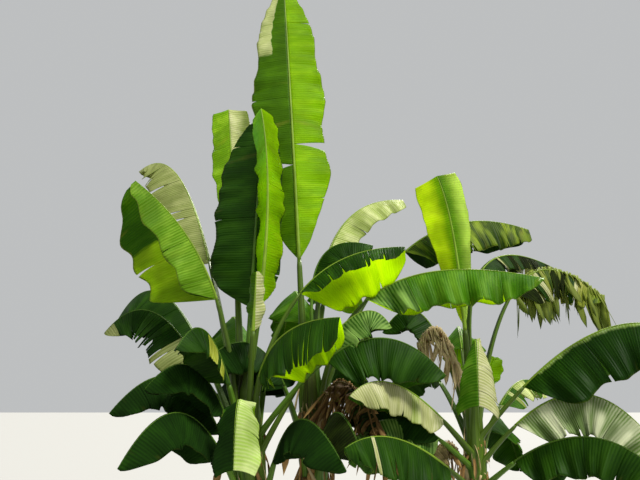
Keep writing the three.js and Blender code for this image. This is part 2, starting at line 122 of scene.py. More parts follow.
class Wiring:
    """Adds nodes to one tree and links them."""

    def __init__(self, tree: bpy.types.NodeTree) -> None:
        """Keeps the tree that is wired."""
        self.tree = tree

    def add(self, kind: str, inputs: Optional[Inputs] = None, **settings: object) -> bpy.types.Node:
        """Adds one node.

        Args:
            kind: The node's type.
            inputs: Values or other nodes' outputs, by the name or place of the input.
            settings: The node's own options.

        Returns:
            The new node.
        """
        node = self.tree.nodes.new(kind)
        for name, value in settings.items():
            setattr(node, name, value)
        for key, value in (inputs or {}).items():
            if isinstance(value, Socket):
                self.tree.links.new(value, node.inputs[key])
            else:
                node.inputs[key].default_value = value
        return node

    def out(self, kind: str, inputs: Optional[Inputs] = None, **settings: object) -> Socket:
        """The first output of a new node, with the arguments of add."""
        return self.add(kind, inputs, **settings).outputs[0]

    def maths(self, operation: str, *values: Wire, clamp: bool = False) -> Socket:
        """The output of a Math node with these values."""
        return self.out("ShaderNodeMath", dict(enumerate(values)), operation=operation, use_clamp=clamp)

    def times(self, first: Wire, second: Wire) -> Socket:
        """The product of two values."""
        return self.maths("MULTIPLY", first, second)

    def plus(self, first: Wire, second: Wire) -> Socket:
        """The sum of two values."""
        return self.maths("ADD", first, second)

    def minus(self, first: Wire, second: Wire) -> Socket:
        """The difference of two values."""
        return self.maths("SUBTRACT", first, second)

    def vector(self, *parts: Wire) -> Socket:
        """A vector of up to three parts, and zero for the others."""
        return self.out("ShaderNodeCombineXYZ", dict(enumerate(parts)))

    def split(self, vector: Socket) -> Sequence[Socket]:
        """The three parts of a vector."""
        return self.add("ShaderNodeSeparateXYZ", {0: vector}).outputs

    def scaled(self, first: Wire, second: Wire) -> Socket:
        """The product of two vectors, part by part."""
        return self.out("ShaderNodeVectorMath", {0: first, 1: second}, operation="MULTIPLY")

    def ramp(self, value: Wire, low: float, high: float) -> Socket:
        """0 below low, 1 above high, and smooth between them."""
        inputs = {"Value": value, "From Min": low, "From Max": high}
        return self.out("ShaderNodeMapRange", inputs, interpolation_type="SMOOTHSTEP")

    def window(self, value: Wire, low: float, high: float, soft: float) -> Socket:
        """1 from low to high, and 0 beyond them, with soft borders."""
        return self.times(self.ramp(value, low, low + soft), self.ramp(value, high + soft, high))

    def blend(self, share: Wire, first: Wire, second: Wire) -> Socket:
        """A colour between two others."""
        colours = [(*c, 1.0) if isinstance(c, tuple) else c for c in (first, second)]
        inputs = {0: share, 6: colours[0], 7: colours[1]}
        return self.add("ShaderNodeMix", inputs, data_type="RGBA").outputs[2]

    def noise(self, vector: Socket, scale: float, detail: float = 2.0) -> Socket:
        """Soft noise from 0 to 1 over a vector."""
        return self.out("ShaderNodeTexNoise", {"Vector": vector, "Scale": scale, "Detail": detail})


class Skin(Wiring):
    """Wires a material, which reads the piece's own map and space."""

    def __init__(self, name: str) -> None:
        """Starts the material."""
        self.material = bpy.data.materials.new(name)
        self.material.use_nodes = True
        super().__init__(self.material.node_tree)
        self.tree.nodes.clear()
        self.place = self.out("ShaderNodeUVMap", uv_map=UV_NAME)
        self.along, self.across, _ = self.split(self.place)
        self.space = self.add("ShaderNodeTexCoord").outputs["Object"]

    def bump(self, height: Socket, strength: float, relief: float) -> Socket:
        """The direction of a face with this relief."""
        return self.out("ShaderNodeBump", {"Height": height, "Strength": strength, "Distance": relief})

    def coat(self, colour: Socket, roughness: float, shine: float, normal: Socket) -> Socket:
        """The shader of an opaque face."""
        return self.out("ShaderNodeBsdfPrincipled", {
            "Base Color": colour, "Roughness": roughness, "Specular IOR Level": shine, "Normal": normal,
        })

    def done(self, surface: Socket) -> bpy.types.Material:
        """The material, with its surface wired."""
        self.add("ShaderNodeOutputMaterial", {"Surface": surface})
        return self.material


class Band(NamedTuple):
    """A part of a blade's face in other colours, most often a painted glow or highlight.

    It runs from start to end as shares of the way to the margin, and from first to last in metres
    along the blade. Its borders are ragged. They fade over soft across the blade, and over fade
    along it.
    """

    start: float
    end: float
    first: float
    last: float
    body: int
    vein: int
    soft: float = 0.03
    fade: float = 0.02


@dataclass(frozen=True)
class LeafFinish:
    """One face of a blade: its colour between the veins, on them, in painted light and shade, and in patches.

    The pattern reads the blade's own map: metres along the blade, and the share of the way from
    the rib to the margin.
    """

    body: int
    vein: int
    veins: float = 0.35
    lit_streaks: float = 0.35
    wear_and_shade_colour: int = 0x9A8A3C
    wear_and_shade_share: float = 0.25
    edge: int = 0x6C7C2C
    roughness: float = 0.5
    glow: float = 0.25
    vein_scale: float = 22.0
    lit_streak_scale: float = 17.0
    fold_shading: float = 0.0
    band: Optional[Band] = None

    def material(self, label: str) -> bpy.types.Material:
        """Builds the finish.

        Args:
            label: What it is called.

        Returns:
            The material.
        """
        skin, band = Skin(f"blade_{label}"), self.band
        along, across = skin.along, skin.across
        lines = {"Vector": skin.place, "Scale": self.vein_scale, "Distortion": 0.9, "Detail Scale": 0.6}
        wave = skin.add("ShaderNodeTexWave", lines, bands_direction="X").outputs[1]
        spread = skin.vector(along, skin.times(across, 0.06))
        # Painted light and shade: noise bands across the blade that lighten it towards the vein colour; they
        # also add a faint bump.
        lit_streak = skin.ramp(skin.noise(spread, self.lit_streak_scale, 3.0), 0.46, 0.62)
        cloud = skin.noise(skin.space, 5.0)

        near_rib = skin.minus(1.3, skin.times(across, 0.6))
        fine = skin.times(skin.times(wave, near_rib), self.veins)
        share = skin.maths("ADD", fine, skin.times(lit_streak, self.lit_streaks), clamp=True)
        colour = skin.blend(share, shade(self.body), shade(self.vein))
        if band:
            # A band in other colours over part of the face, with ragged borders; most bands are painted
            # light.
            wander = skin.times(skin.minus(skin.noise(spread, RAGGED_SCALE, 3.0), 0.5), 0.16)
            inside = skin.window(skin.plus(across, wander), band.start, band.end, band.soft)
            reach = skin.plus(along, skin.times(wander, 0.3))
            reached = skin.window(reach, band.first, band.last, band.fade)
            other = skin.blend(share, shade(band.body), shade(band.vein))
            colour = skin.blend(skin.times(inside, reached), colour, other)
        colour = skin.blend(skin.times(skin.ramp(cloud, 0.62, 0.35), 0.55), colour, shade(self.body, 0.62))
        # Painted highlights on the crests of the blade's curtain folds and painted shade in their troughs.
        if self.fold_shading:
            bent = skin.times(skin.maths("SINE", skin.times(along, PLEAT_DRIFT)), 2.0)
            swing = skin.maths("SINE", skin.plus(skin.times(along, PLEAT_PITCH), bent))
            fold = skin.times(swing, skin.ramp(across, 0.05, 0.6))
            for low, high, other in ((0.25, 0.95, shade(self.vein)), (-0.25, -0.95, shade(self.body, 0.5))):
                colour = skin.blend(skin.times(skin.ramp(fold, low, high), self.fold_shading), colour, other)
        # Patches of another colour: yellowed and browned spots on most tints, painted shade on KHAKI.
        wear_and_shade_patch = skin.times(skin.ramp(skin.noise(spread, PATCH_SCALE, 4.0), 0.6, 0.72), self.wear_and_shade_share)
        colour = skin.blend(wear_and_shade_patch, colour, shade(self.wear_and_shade_colour))
        ragged = skin.plus(across, skin.times(skin.noise(skin.space, RAGGED_SCALE, 3.0), 0.06))
        colour = skin.blend(skin.ramp(ragged, 0.995, 1.035), colour, shade(self.edge))

        normal = skin.bump(skin.plus(wave, skin.times(lit_streak, 0.6)), 0.6, LEAF_RELIEF)
        coat = skin.coat(colour, self.roughness, LEAF_SHINE, normal)
        warmer = skin.scaled(skin.out("ShaderNodeGamma", {"Color": colour, "Gamma": 0.5}), THROUGH_TINT)
        through = skin.out("ShaderNodeBsdfTranslucent", {"Color": warmer, "Normal": normal})
        return skin.done(skin.out("ShaderNodeMixShader", {0: self.glow, 1: coat, 2: through}))


class Tint(Enum):
    """The finishes that a blade's faces are dealt."""

    # Bright yellow-green, a painted glow of sunlight shining through the blade.
    VIVID = LeafFinish(0xB0E400, 0xD0F020, veins=0.3, glow=0.8)
    # Yellow-green, painted as sunlight through a blade's underside.
    LIME = LeafFinish(0x7CB004, 0xA0CC1C, glow=0.6)
    # Dull dark green, painted as an underside in shade.
    OLIVE = LeafFinish(0x365E00, 0x4A7804, glow=0.2)
    GREEN = LeafFinish(0x3A7004, 0x74A428, fold_shading=0.35)
    LIT = LeafFinish(0x689E14, 0xACD448, veins=0.5, glow=0.55)
    MOSS = LeafFinish(0x2C5804, 0x4E8012)
    # Dark green, painted shade on a leaf face, with a darker margin to match.
    DEEP = LeafFinish(0x183A02, 0x345C0E, wear_and_shade_share=0.12, edge=0x3C5410, fold_shading=0.3)
    SHADOW = LeafFinish(0x0E2802, 0x1E4206, wear_and_shade_share=0.08, glow=0.1, edge=0x243408, roughness=0.9)
    RIBBED = LeafFinish(0x265606, 0xA0C864, veins=0.5, lit_streaks=0.2, vein_scale=16.0, fold_shading=0.45)
    # Its pale stripes are painted light, and the dark bands in its folds painted shade.
    STRIPED = LeafFinish(0x709440, 0xF4F8D0, veins=0.6, lit_streaks=0.9, lit_streak_scale=9.0, glow=0.35,
                         fold_shading=0.7)
    # Dark green with yellow-green bands, painted as dappled sunlight on a shaded face.
    MARBLED = LeafFinish(0x1C3E06, 0x90A82C, veins=0.3, lit_streaks=0.7, lit_streak_scale=14.0, fold_shading=0.5)
    TALL_SHADED = LeafFinish(0x365E00, 0x4A7804, glow=0.2,
                             band=Band(0.5, 2.0, 1.5, 2.4, 0xB0B878, 0xE0E0B4))
    # Pale bright green, painted as the sunlit part of a hanging leaf.
    FAN = LeafFinish(0xB8DC60, 0xE8F4B0, veins=0.7, lit_streaks=0.4, glow=0.4, fold_shading=0.5)
    PALE = LeafFinish(0x98AE48, 0xDCE2A8, veins=0.6, fold_shading=0.5)
    # Pale olive, with dark green patches that are painted shade in the hollows between torn strips.
    KHAKI = LeafFinish(0x7C8A44, 0xB4BA7C, veins=0.5, wear_and_shade_colour=0x3C4C1C, wear_and_shade_share=0.5)
    CREAM = LeafFinish(0xA8B068, 0xE0DEB4, veins=0.6, wear_and_shade_colour=0x7C8A3C)
    TATTERED = LeafFinish(0x7C8C20, 0xC8C470, wear_and_shade_colour=0x2C3C0C, wear_and_shade_share=0.9, lit_streaks=0.6)
    YELLOW = LeafFinish(0x98A424, 0xC8CC6C, wear_and_shade_colour=0x7A5A20, wear_and_shade_share=0.6)
    STRAW = LeafFinish(0xA08C5C, 0xD4C896, wear_and_shade_colour=0x5C4024, wear_and_shade_share=0.8, roughness=0.75, glow=0.2)
    BROWN = LeafFinish(0x4A3418, 0x8C7242, wear_and_shade_colour=0x1E140A, wear_and_shade_share=0.8, roughness=0.8, glow=0.1)
    # Near-black green, painted as strips in deep shadow, with brown patches of dead leaf.
    DARK = LeafFinish(0x141C06, 0x30400E, wear_and_shade_colour=0x463818, wear_and_shade_share=0.4, roughness=0.9, glow=0.1)
    # Painted glow of sunlight through the blade, turning paler green towards the tip.
    BRIGHT_TOP = LeafFinish(0xA8DC00, 0xC8EC20, veins=0.3, glow=0.8,
                            band=Band(-1.0, 2.0, 0.7, 2.0, 0x74BC60, 0xA8D898, fade=0.35))
    # Dark green painted shade, with a painted glow of sunlight through the outer blade near its base.
    LEFT_FAR = LeafFinish(0x1E4A04, 0x3C6A14, glow=0.5,
                          band=Band(0.45, 2.0, -1.0, 0.42, 0x9CCC08, 0xC0E030))
    # Mid green, with a painted glow of sunlight that brightens towards the margin.
    STAND_FLARE = LeafFinish(0x3C6808, 0x6C9C24, glow=0.55, lit_streaks=0.1,
                             band=Band(0.1, 2.0, 0.0, 2.0, 0xC8E414, 0xECF060, soft=0.4))
    # Mid green, with a painted pale highlight that brightens towards the margin.
    STAND_SMOOTH = LeafFinish(0x3C6808, 0x5C8C18, veins=0.2, lit_streaks=0.1, glow=0.5,
                              band=Band(0.1, 2.0, 0.0, 2.0, 0xB8D860, 0xD0E488, soft=0.8))
    # Dark green painted shade, with a painted pale highlight along the rib.
    BROAD_NEAR = LeafFinish(0x143602, 0x2C560A, wear_and_shade_share=0.12, edge=0x3C5410,
                            band=Band(-1.0, 0.04, 0.1, 2.0, 0x8CB040, 0xC0D898, soft=0.08))


@dataclass(frozen=True)
class WoodFinish:
    """A stem, stalk or rib: its colour, the darker or drier colour it is marked with, and its grain."""

    body: int
    second: int
    marks: int
    mark_share: float
    grain: float = 8.0
    roughness: float = 0.5

    def material(self, label: str) -> bpy.types.Material:
        """Builds the finish, with its grain along the piece's own map.

        Args:
            label: What it is called.

        Returns:
            The material.
        """
        skin = Skin(f"stem_{label}")
        lines = skin.vector(skin.times(skin.along, 0.9), skin.times(skin.across, self.grain))
        grain = skin.noise(lines, 1.6, 3.0)
        cloud = skin.noise(skin.space, 7.0, 3.0)
        blot = skin.noise(lines, 0.35, 5.0)
        colour = skin.blend(skin.ramp(grain, 0.35, 0.65), shade(self.body), shade(self.second))
        colour = skin.blend(skin.times(skin.ramp(cloud, 0.6, 0.35), 0.5), colour, shade(self.body, 0.6))
        marked = skin.ramp(blot, lerp(0.75, 0.4, self.mark_share), lerp(0.85, 0.5, self.mark_share))
        colour = skin.blend(marked, colour, shade(self.marks))
        normal = skin.bump(grain, 0.5, WOOD_RELIEF)
        return skin.done(skin.coat(colour, self.roughness, WOOD_SHINE, normal))


class Bark(Enum):
    """The finishes of stems, stalks and ribs."""

    # Olive green, darkened as painted shade on stems that stand in shade.
    SHEATH = WoodFinish(0x4C5C14, 0x38460E, 0x302010, 0.55, 90.0, 0.6)
    # Green, darkened as painted shade on stalks in shade.
    STALK = WoodFinish(0x4E6A12, 0x3C540E, 0x5C4A1E, 0.25)
    RIB = WoodFinish(0x6E9018, 0x8CAA34, 0x5C5018, 0.25)
    # Dark green, painted as a rib in shade.
    DEEP_RIB = WoodFinish(0x3E6008, 0x587E1C, 0x2C300C, 0.3)
    DRY_RIB = WoodFinish(0xB8A270, 0xD2C298, 0x4C3418, 0.65, roughness=0.8)
    TORN = WoodFinish(0x7E8C28, 0x34460E, 0xB8B070, 0.5, roughness=0.7)
    DRY_SHEATH = WoodFinish(0x6A4C26, 0xA0824C, 0x2C1C0C, 0.5, 10.0, 0.85)


class Wardrobe:
    """Makes each finish once."""

    def __init__(self) -> None:
        """Starts with no finish made."""
        self.made: Dict[Enum, bpy.types.Material] = {}

    def __call__(self, finish: Enum) -> bpy.types.Material:
        """The material of a finish."""
        if finish not in self.made:
            self.made[finish] = finish.value.material(finish.name.lower())
        return self.made[finish]


wardrobe = Wardrobe()


class Draft:
    """A mesh while it is put together from closed shells."""

    def __init__(self) -> None:
        """Starts empty."""
        self.shells: List[Tuple[np.ndarray, ...]] = []
        self.finishes: List[Enum] = []
        self.count = 0

    def slot(self, finish: Enum) -> int:
        """The slot of a finish, which is added if it is new."""
        if finish not in self.finishes:
            self.finishes.append(finish)
        return self.finishes.index(finish)

    def add(self, points: np.ndarray, maps: np.ndarray, faces: np.ndarray, totals: np.ndarray,
            slots: np.ndarray, smooth: np.ndarray) -> None:
        """Adds one shell.

        Args:
            points: Its vertices.
            maps: Each vertex's place on the map.
            faces: The vertices of its faces, one face after another.
            totals: How many vertices each face has.
            slots: Each face's material slot.
            smooth: Whether each face is shaded smoothly.
        """
        points, corners = points.reshape(-1, 3), faces.reshape(-1) + self.count
        self.shells.append((points, maps.reshape(-1, 2), corners, totals, slots, smooth))
        self.count += len(points)

    def add_mesh(self, mesh: bpy.types.Mesh, finish: Enum) -> None:
        """Adds a finished mesh in one finish, and removes it.

        Args:
            mesh: The mesh, with its map as the vertex attributes that Geometry Nodes leave.
            finish: Its finish.
        """
        points = read(mesh.vertices, "co", np.float32, 3)
        corners = read(mesh.loops, "vertex_index", np.int32)
        totals = read(mesh.polygons, "loop_total", np.int32)
        maps = np.zeros((len(mesh.vertices), 2), np.float32)
        for column, name in enumerate(("along", "round_it")):
            if name in mesh.attributes:
                maps[:, column] = read(mesh.attributes[name].data, "value", np.float32)
        self.add(points, maps, corners, totals, np.full(len(totals), self.slot(finish)), totals == 4)
        bpy.data.meshes.remove(mesh)

    def build(self, name: str) -> bpy.types.Object:
        """Turns the draft into an object.

        Args:
            name: The object's name.

        Returns:
            The object, linked to the scene, at the origin.
        """
        mesh = bpy.data.meshes.new(name)
        columns = [np.concatenate(column) for column in zip(*self.shells)]
        points, maps, corners, totals, slots, smooth = columns
        mesh.vertices.add(self.count)
        mesh.vertices.foreach_set("co", points.astype(np.float32).ravel())
        mesh.loops.add(len(corners))
        mesh.loops.foreach_set("vertex_index", corners.astype(np.int32))
        mesh.polygons.add(len(totals))
        starts = np.concatenate(([0], np.cumsum(totals)[:-1]))
        mesh.polygons.foreach_set("loop_start", starts.astype(np.int32))
        mesh.polygons.foreach_set("material_index", slots.astype(np.int32))
        mesh.update(calc_edges=True)
        mesh.polygons.foreach_set("use_smooth", smooth.astype(bool))
        maps = maps.astype(np.float32)[corners]
        mesh.uv_layers.new(name=UV_NAME).data.foreach_set("uv", maps.ravel())
        mesh.validate()
        for finish in self.finishes:
            mesh.materials.append(wardrobe(finish))
        return put(name, mesh)


def chain(path: np.ndarray) -> bpy.types.Mesh:
    """The points of a path as a mesh of vertices that are joined one to the next."""
    mesh = bpy.data.meshes.new("path")
    mesh.from_pydata(path.tolist(), [(i, i + 1) for i in range(len(path) - 1)], [])
    return mesh


class NodeMaker(Wiring):
    """A Geometry Nodes tree with named inputs, and what it makes as plain meshes."""

    def __init__(self, name: str, **inputs: str) -> None:
        """Starts the tree.

        Args:
            name: The tree's name.
            inputs: The kind of each named input. The input named Material is added to them.
        """
        super().__init__(bpy.data.node_groups.new(name, "GeometryNodeTree"))
        face = self.tree.interface
        face.new_socket("Geometry", in_out="INPUT", socket_type="NodeSocketGeometry")
        self.sockets = {
            key: face.new_socket(key, in_out="INPUT", socket_type=f"NodeSocket{kind}").identifier
            for key, kind in {**inputs, "Material": "Material"}.items()
        }
        face.new_socket("Geometry", in_out="OUTPUT", socket_type="NodeSocketGeometry")
        self.given = self.add("NodeGroupInput").outputs

    def named(self, name: str, kind: str = "FLOAT") -> Socket:
        """The output of a Named Attribute node."""
        return self.out("GeometryNodeInputNamedAttribute", {"Name": name}, data_type=kind)

    def store(self, shape: Socket, name: str, value: Socket) -> Socket:
        """The shape with a named value at each of its points."""
        inputs = {"Geometry": shape, "Name": name, "Value": value}
        return self.out("GeometryNodeStoreNamedAttribute", inputs, data_type="FLOAT", domain="POINT")

    def drawn(self, span: Pair, seed: Wire) -> Socket:
        """A random value within a span for each instance."""
        inputs = {2: span[0], 3: span[1], "Seed": seed}
        return self.add("FunctionNodeRandomValue", inputs, data_type="FLOAT").outputs[1]

    def swept(self, curve: Socket, section: Socket, scale: Socket) -> Socket:
        """A section swept along a curve and closed at its ends."""
        inputs = {"Curve": curve, "Profile Curve": section, "Scale": scale, "Fill Caps": True}
        return self.out("GeometryNodeCurveToMesh", inputs)

    def result(self, shape: Socket) -> None:
        """Ends the tree in Realize Instances and Set Material."""
        real = self.out("GeometryNodeRealizeInstances", {0: shape})
        dressed = self.out("GeometryNodeSetMaterial", {"Geometry": real, "Material": self.given["Material"]})
        self.add("NodeGroupOutput", {0: dressed})

    def make(self, start: bpy.types.Mesh, finish: Enum, **values: float) -> bpy.types.Mesh:
        """Runs the tree.

        Args:
            start: The mesh that the tree is given, which is removed.
            finish: What the result is made of.
            values: The named inputs.

        Returns:
            What it makes, as a plain mesh.
        """
        carrier = put("carrier", start)
        modifier = carrier.modifiers.new("nodes", "NODES")
        modifier.node_group = self.tree
        for key, value in {**values, "Material": wardrobe(finish)}.items():
            modifier[self.sockets[key]] = value
        seen = carrier.evaluated_get(bpy.context.evaluated_depsgraph_get())
        mesh = bpy.data.meshes.new_from_object(seen)
        carrier.modifiers.clear()
        bpy.data.objects.remove(carrier)
        bpy.data.meshes.remove(start)
        return mesh


class RibSweep(NodeMaker):
    """Sweeps a channelled section along a path: a leaf's stalk that runs on as its rib.

    The path is a chain of vertices, each with its girth, the direction of the leaf's upper face
    and its distance from the foot.
    """

    def __init__(self) -> None:
        """Wires the tree."""
        super().__init__("rib_sweep")
        path = self.out("GeometryNodeMeshToCurve", {0: self.given["Geometry"]})
        turned = self.add("GeometryNodeSetCurveNormal", {"Curve": path}, mode="FREE")
        self.tree.links.new(self.named("up", "FLOAT_VECTOR"), turned.inputs["Normal"])
        ring = self.out("GeometryNodeCurvePrimitiveCircle", {"Resolution": RIB_SIDES, "Radius": 1.0})
        level, side, _ = self.split(self.out("GeometryNodeInputPosition"))
        inner = self.minus(1.0, self.times(side, side))
        dip = self.times(self.times(self.maths("MAXIMUM", level, 0.0), inner), RIB_CHANNEL)
        where = self.vector(self.times(self.minus(level, dip), RIB_DEPTH), side)
        section = self.out("GeometryNodeSetPosition", {"Geometry": ring, "Position": where})
        around = self.times(self.out("GeometryNodeInputIndex"), 0.1)
        marked = self.store(section, "round_it", around)
        self.result(self.swept(turned.outputs[0], marked, self.named("girth")))

    def rib(self, path: np.ndarray, up: np.ndarray, girth: np.ndarray, along: np.ndarray,
            finish: Enum) -> bpy.types.Mesh:
        """Sweeps one rib.

        Args:
            path: Points along the rib.
            up: The direction of the upper face at each point.
            girth: Half the rib's width at each point.
            along: Each point's distance from the foot.
            finish: The rib's finish.

        Returns:
            The rib as a closed mesh.
        """
        mesh = chain(path)
        for name, kind, key, values in (
            ("up", "FLOAT_VECTOR", "vector", up), ("girth", "FLOAT", "value", girth),
            ("along", "FLOAT", "value", along),
        ):
            data = mesh.attributes.new(name, kind, "POINT").data
            data.foreach_set(key, values.astype(np.float32).ravel())
        return self.make(mesh, finish)


class Fringe(NamedTuple):
    """Dry ribbons that hang from a path: how many, how long and wide, how far they lean, their finish."""

    count: int
    length: float
    width: float
    lean: float
    finish: Bark
    start: float = 0.0
    end: float = 1.0


class FringeMaker(NodeMaker):
    """Hangs ribbons of uneven length along a path."""

    def __init__(self) -> None:
        """Wires the tree."""
        super().__init__("fringe", Count="Int", Length="Float", Width="Float", Lean="Float", Seed="Int")
        given = self.given
        path = self.out("GeometryNodeMeshToCurve", {0: given["Geometry"]})
        places = {"Curve": path, "Count": given["Count"]}
        spots = self.out("GeometryNodeCurveToPoints", places, mode="COUNT")
        line = self.out("GeometryNodeCurvePrimitiveLine", {"Start": (0.0, 0.0, 0.0), "End": DOWN.tolist()})
        fine = self.out("GeometryNodeResampleCurve", {"Curve": line, "Count": RIBBON_POINTS})
        share = self.add("GeometryNodeSplineParameter").outputs["Factor"]
        aside = self.times(self.maths("SINE", self.times(share, RIBBON_TURN)), RIBBON_SWING)
        swing = self.vector(aside, self.times(self.times(share, share), RIBBON_BEND))
        bent = self.out("GeometryNodeSetPosition", {"Geometry": fine, "Offset": swing})
        flat = {"Width": 1.0, "Height": RIBBON_THICKNESS}
        section = self.out("GeometryNodeCurvePrimitiveQuadrilateral", flat)
        narrow = self.minus(1.0, self.times(share, RIBBON_TAPER))
        ribbon = self.swept(self.store(bent, "along", share), section, narrow)
        lean, seed = self.vector(given["Lean"], given["Lean"], math.pi), given["Seed"]
        span = {"Min": self.scaled(lean, (-1.0, -1.0, -1.0)), "Max": lean, "Seed": seed}
        turn = self.out("FunctionNodeRandomValue", span, data_type="FLOAT_VECTOR")
        long = self.times(self.drawn(RIBBON_LENGTHS, seed), given["Length"])
        broad = self.times(self.drawn(RIBBON_WIDTHS, self.plus(seed, 7)), given["Width"])
        size = self.vector(broad, broad, long)
        self.result(self.out("GeometryNodeInstanceOnPoints", {
            "Points": spots, "Instance": ribbon, "Rotation": turn, "Scale": size,
        }))

    def hang(self, path: np.ndarray, fringe: Fringe, seed: int) -> bpy.types.Mesh:
        """Hangs one fringe.

        Args:
            path: Points that it hangs from.
            fringe: Its sizes.
            seed: What its random lengths and turns start from.

        Returns:
            The ribbons as one mesh.
        """
        return self.make(chain(path), fringe.finish, Count=fringe.count, Length=fringe.length,
                         Width=fringe.width, Lean=fringe.lean, Seed=seed)


FOOT_SWELL = 0.22
FOOT_HEIGHT = 0.09


@dataclass(frozen=True)
class Stem:
    """A false stem of rolled sheaths, from its flat cut at the ground to its top.

    It leans evenly from foot to crown. Its radii are at the foot, the crown and the top.
    """

    name: str
    foot: Pair
    crown: Pair
    height: float
    top: float
    radii: Tuple[float, float, float]

    def axis(self, level: np.ndarray) -> np.ndarray:
        """Points on the stem's axis at these heights."""
        share = np.asarray(level) / self.height
        x, y = (lerp(foot, crown, share) for foot, crown in zip(self.foot, self.crown))
        return np.stack([x, y, share * self.height], -1)

    def radius(self, level: np.ndarray) -> np.ndarray:
        """The stem's radius at these heights, with the swelling at its foot."""
        foot, crown, tip = self.radii
        low = lerp(foot, crown, level / self.height) + FOOT_SWELL * foot * np.exp(-level / FOOT_HEIGHT)
        high = lerp(crown, tip, (level - self.height) / (self.top - self.height))
        return np.where(level > self.height, high, low)


DRY_SHEATHS = (
    Fringe(46, 0.3, 0.022, 0.35, Bark.DRY_SHEATH, 0.62, 1.04),
    Fringe(40, 0.22, 0.01, 0.6, Bark.DRY_RIB, 0.66, 1.08),
    Fringe(30, 0.34, 0.03, 0.2, Bark.DRY_SHEATH, 0.5, 0.85),
)
SIDES = 96
RINGS = 150
SHEATHS = 6
SHEATH_STEP = 0.0065
SHEATH_WRAP = 1.9
SHEATH_SINK = 1.4
FLUTE = 0.0009
FINE_FLUTE = 0.0006
PEELS = 60
PEEL_TURN = 0.35
PEEL_CLEARANCE = 0.004


class StemShell:
    """A stem's visible skin: sheaths that lap over one another, and the dry ones that peel off."""

    def __init__(self, stem: Stem, fringes: FringeMaker) -> None:
        """Keeps the stem, what hangs its dry sheaths, and a seed from its name."""
        self.stem = stem
        self.fringes = fringes
        self.dice = np.random.default_rng(zlib.crc32(stem.name.encode()))

    def relief(self, level: np.ndarray, angle: np.ndarray) -> np.ndarray:
        """How far the skin stands out from the stem's radius.

        Args:
            level: Heights.
            angle: Angles round the stem, in radians.

        Returns:
            The distance at each place, in metres.
        """
        out = FLUTE * np.sin(27 * angle + 2 * np.sin(5 * level)) + FINE_FLUTE * np.sin(61 * angle + 9 * level)
        for k in range(SHEATHS):
            edge = 2.4 * k + self.dice.uniform(-0.3, 0.3) + (1.1 + 0.25 * k) * level * (-1) ** k
            lag = (angle - edge + 0.08 * np.sin(14 * level + k)) % (2 * math.pi)
            lap = SHEATH_STEP * np.maximum(0, 1 - lag / SHEATH_WRAP)
            out = out + lap * (0.55 + 0.45 * np.sin(3 * level + k))
        return out - SHEATH_SINK * SHEATH_STEP

    def build(self) -> bpy.types.Object:
        """Builds the skin.

        Returns:
            The stem's object.
        """
        stem, draft = self.stem, Draft()
        level = np.linspace(0, stem.top, RINGS)[:, None]
        angle = np.linspace(0, 2 * math.pi, SIDES, endpoint=False)[None, :]
        radius = stem.radius(level) + self.relief(level, angle)
        rim = np.stack([radius * np.cos(angle), radius * np.sin(angle), np.zeros_like(radius)], -1)
        points = (stem.axis(level[:, 0])[:, None, :] + rim).reshape(-1, 3)
        ends = np.stack([stem.axis(0.0), stem.axis(stem.top)])
        maps = np.stack(np.broadcast_arrays(level, angle / (2 * math.pi)), -1).reshape(-1, 2)
        grid = np.arange(RINGS * SIDES).reshape(RINGS, SIDES)
        following = np.roll(grid, -1, axis=1)
        quads = np.stack([grid[:-1], following[:-1], following[1:], grid[1:]], -1).reshape(-1, 4)
        low = np.stack([np.full(SIDES, grid.size), following[0], grid[0]], -1)
        high = np.stack([np.full(SIDES, grid.size + 1), grid[-1], following[-1]], -1)
        faces = np.concatenate([quads.ravel(), low.ravel(), high.ravel()])
        totals = np.concatenate([np.full(len(quads), 4), np.full(2 * SIDES, 3)])
        slot = draft.slot(Bark.SHEATH)
        draft.add(np.vstack([points, ends]), np.vstack([maps, [[0, 0], [stem.top, 0]]]), faces, totals,
                  np.full(len(totals), slot), totals == 4)
        for turn, fringe in enumerate(DRY_SHEATHS):
            height = stem.height * np.linspace(fringe.start, fringe.end, PEELS)
            around = PEEL_TURN * np.arange(PEELS) + turn
            rim = stem.radius(height)[:, None] + PEEL_CLEARANCE
            path = stem.axis(height) + rim * np.stack([np.cos(around), np.sin(around), np.zeros(PEELS)], -1)
            draft.add_mesh(self.fringes.hang(path, fringe, turn + 1), fringe.finish)
        return draft.build(f"stem_{stem.name}_skin")


class Side(Enum):
    """The halves of a blade, with the direction that each leaves the rib in."""

    LEFT = -1
    RIGHT = 1


Tints = Union[Tint, Tuple[Tint, ...]]


class Tear(NamedTuple):
    """A tear from the margin: its half, its place on the blade, its depth as a share, its wedge."""

    side: Side
    at: float
    depth: float
    wedge: float = 1.0


@dataclass(frozen=True)
class Half:
    """One half of a blade.

    Angles are degrees above the leaf's own level: the fold at the blade's base, at its tip, and
    the curl that the half turns by from rib to margin. Each strip between tears is dealt one of the
    tints by a seeded choice, and the part that is torn hangs by limp. Folds is how far the margin swings
    in and out like a curtain, and steps how much the strips differ in length.
    """

    upper: Tints
    lower: Tints
    fold: float
    tip_fold: float
    curl: float = 0.0
    share: float = 1.0
    shreds: int = 2
    reach: Pair = (0.1, 0.35)
    limp: float = 0.2
    folds: float = 0.008
    steps: float = 0.12


def both(*turns: object, **looks: object) -> Tuple[Half, Half]:
    """A pair of like halves, with the arguments of Half."""
    half = Half(*turns, **looks)
    return half, half


class Cut(NamedTuple):
    """A border between two strips of a half."""

    at: float
    depth: float = 0.0
    gap: float = 0.0

    def opening(self, across: np.ndarray) -> np.ndarray:
        """How far the tear has opened, from 0 at its root to 1 at the margin."""
        if not self.depth:
            return np.zeros_like(across)
        return np.clip((across - 1 + self.depth) / self.depth, 0, 1)


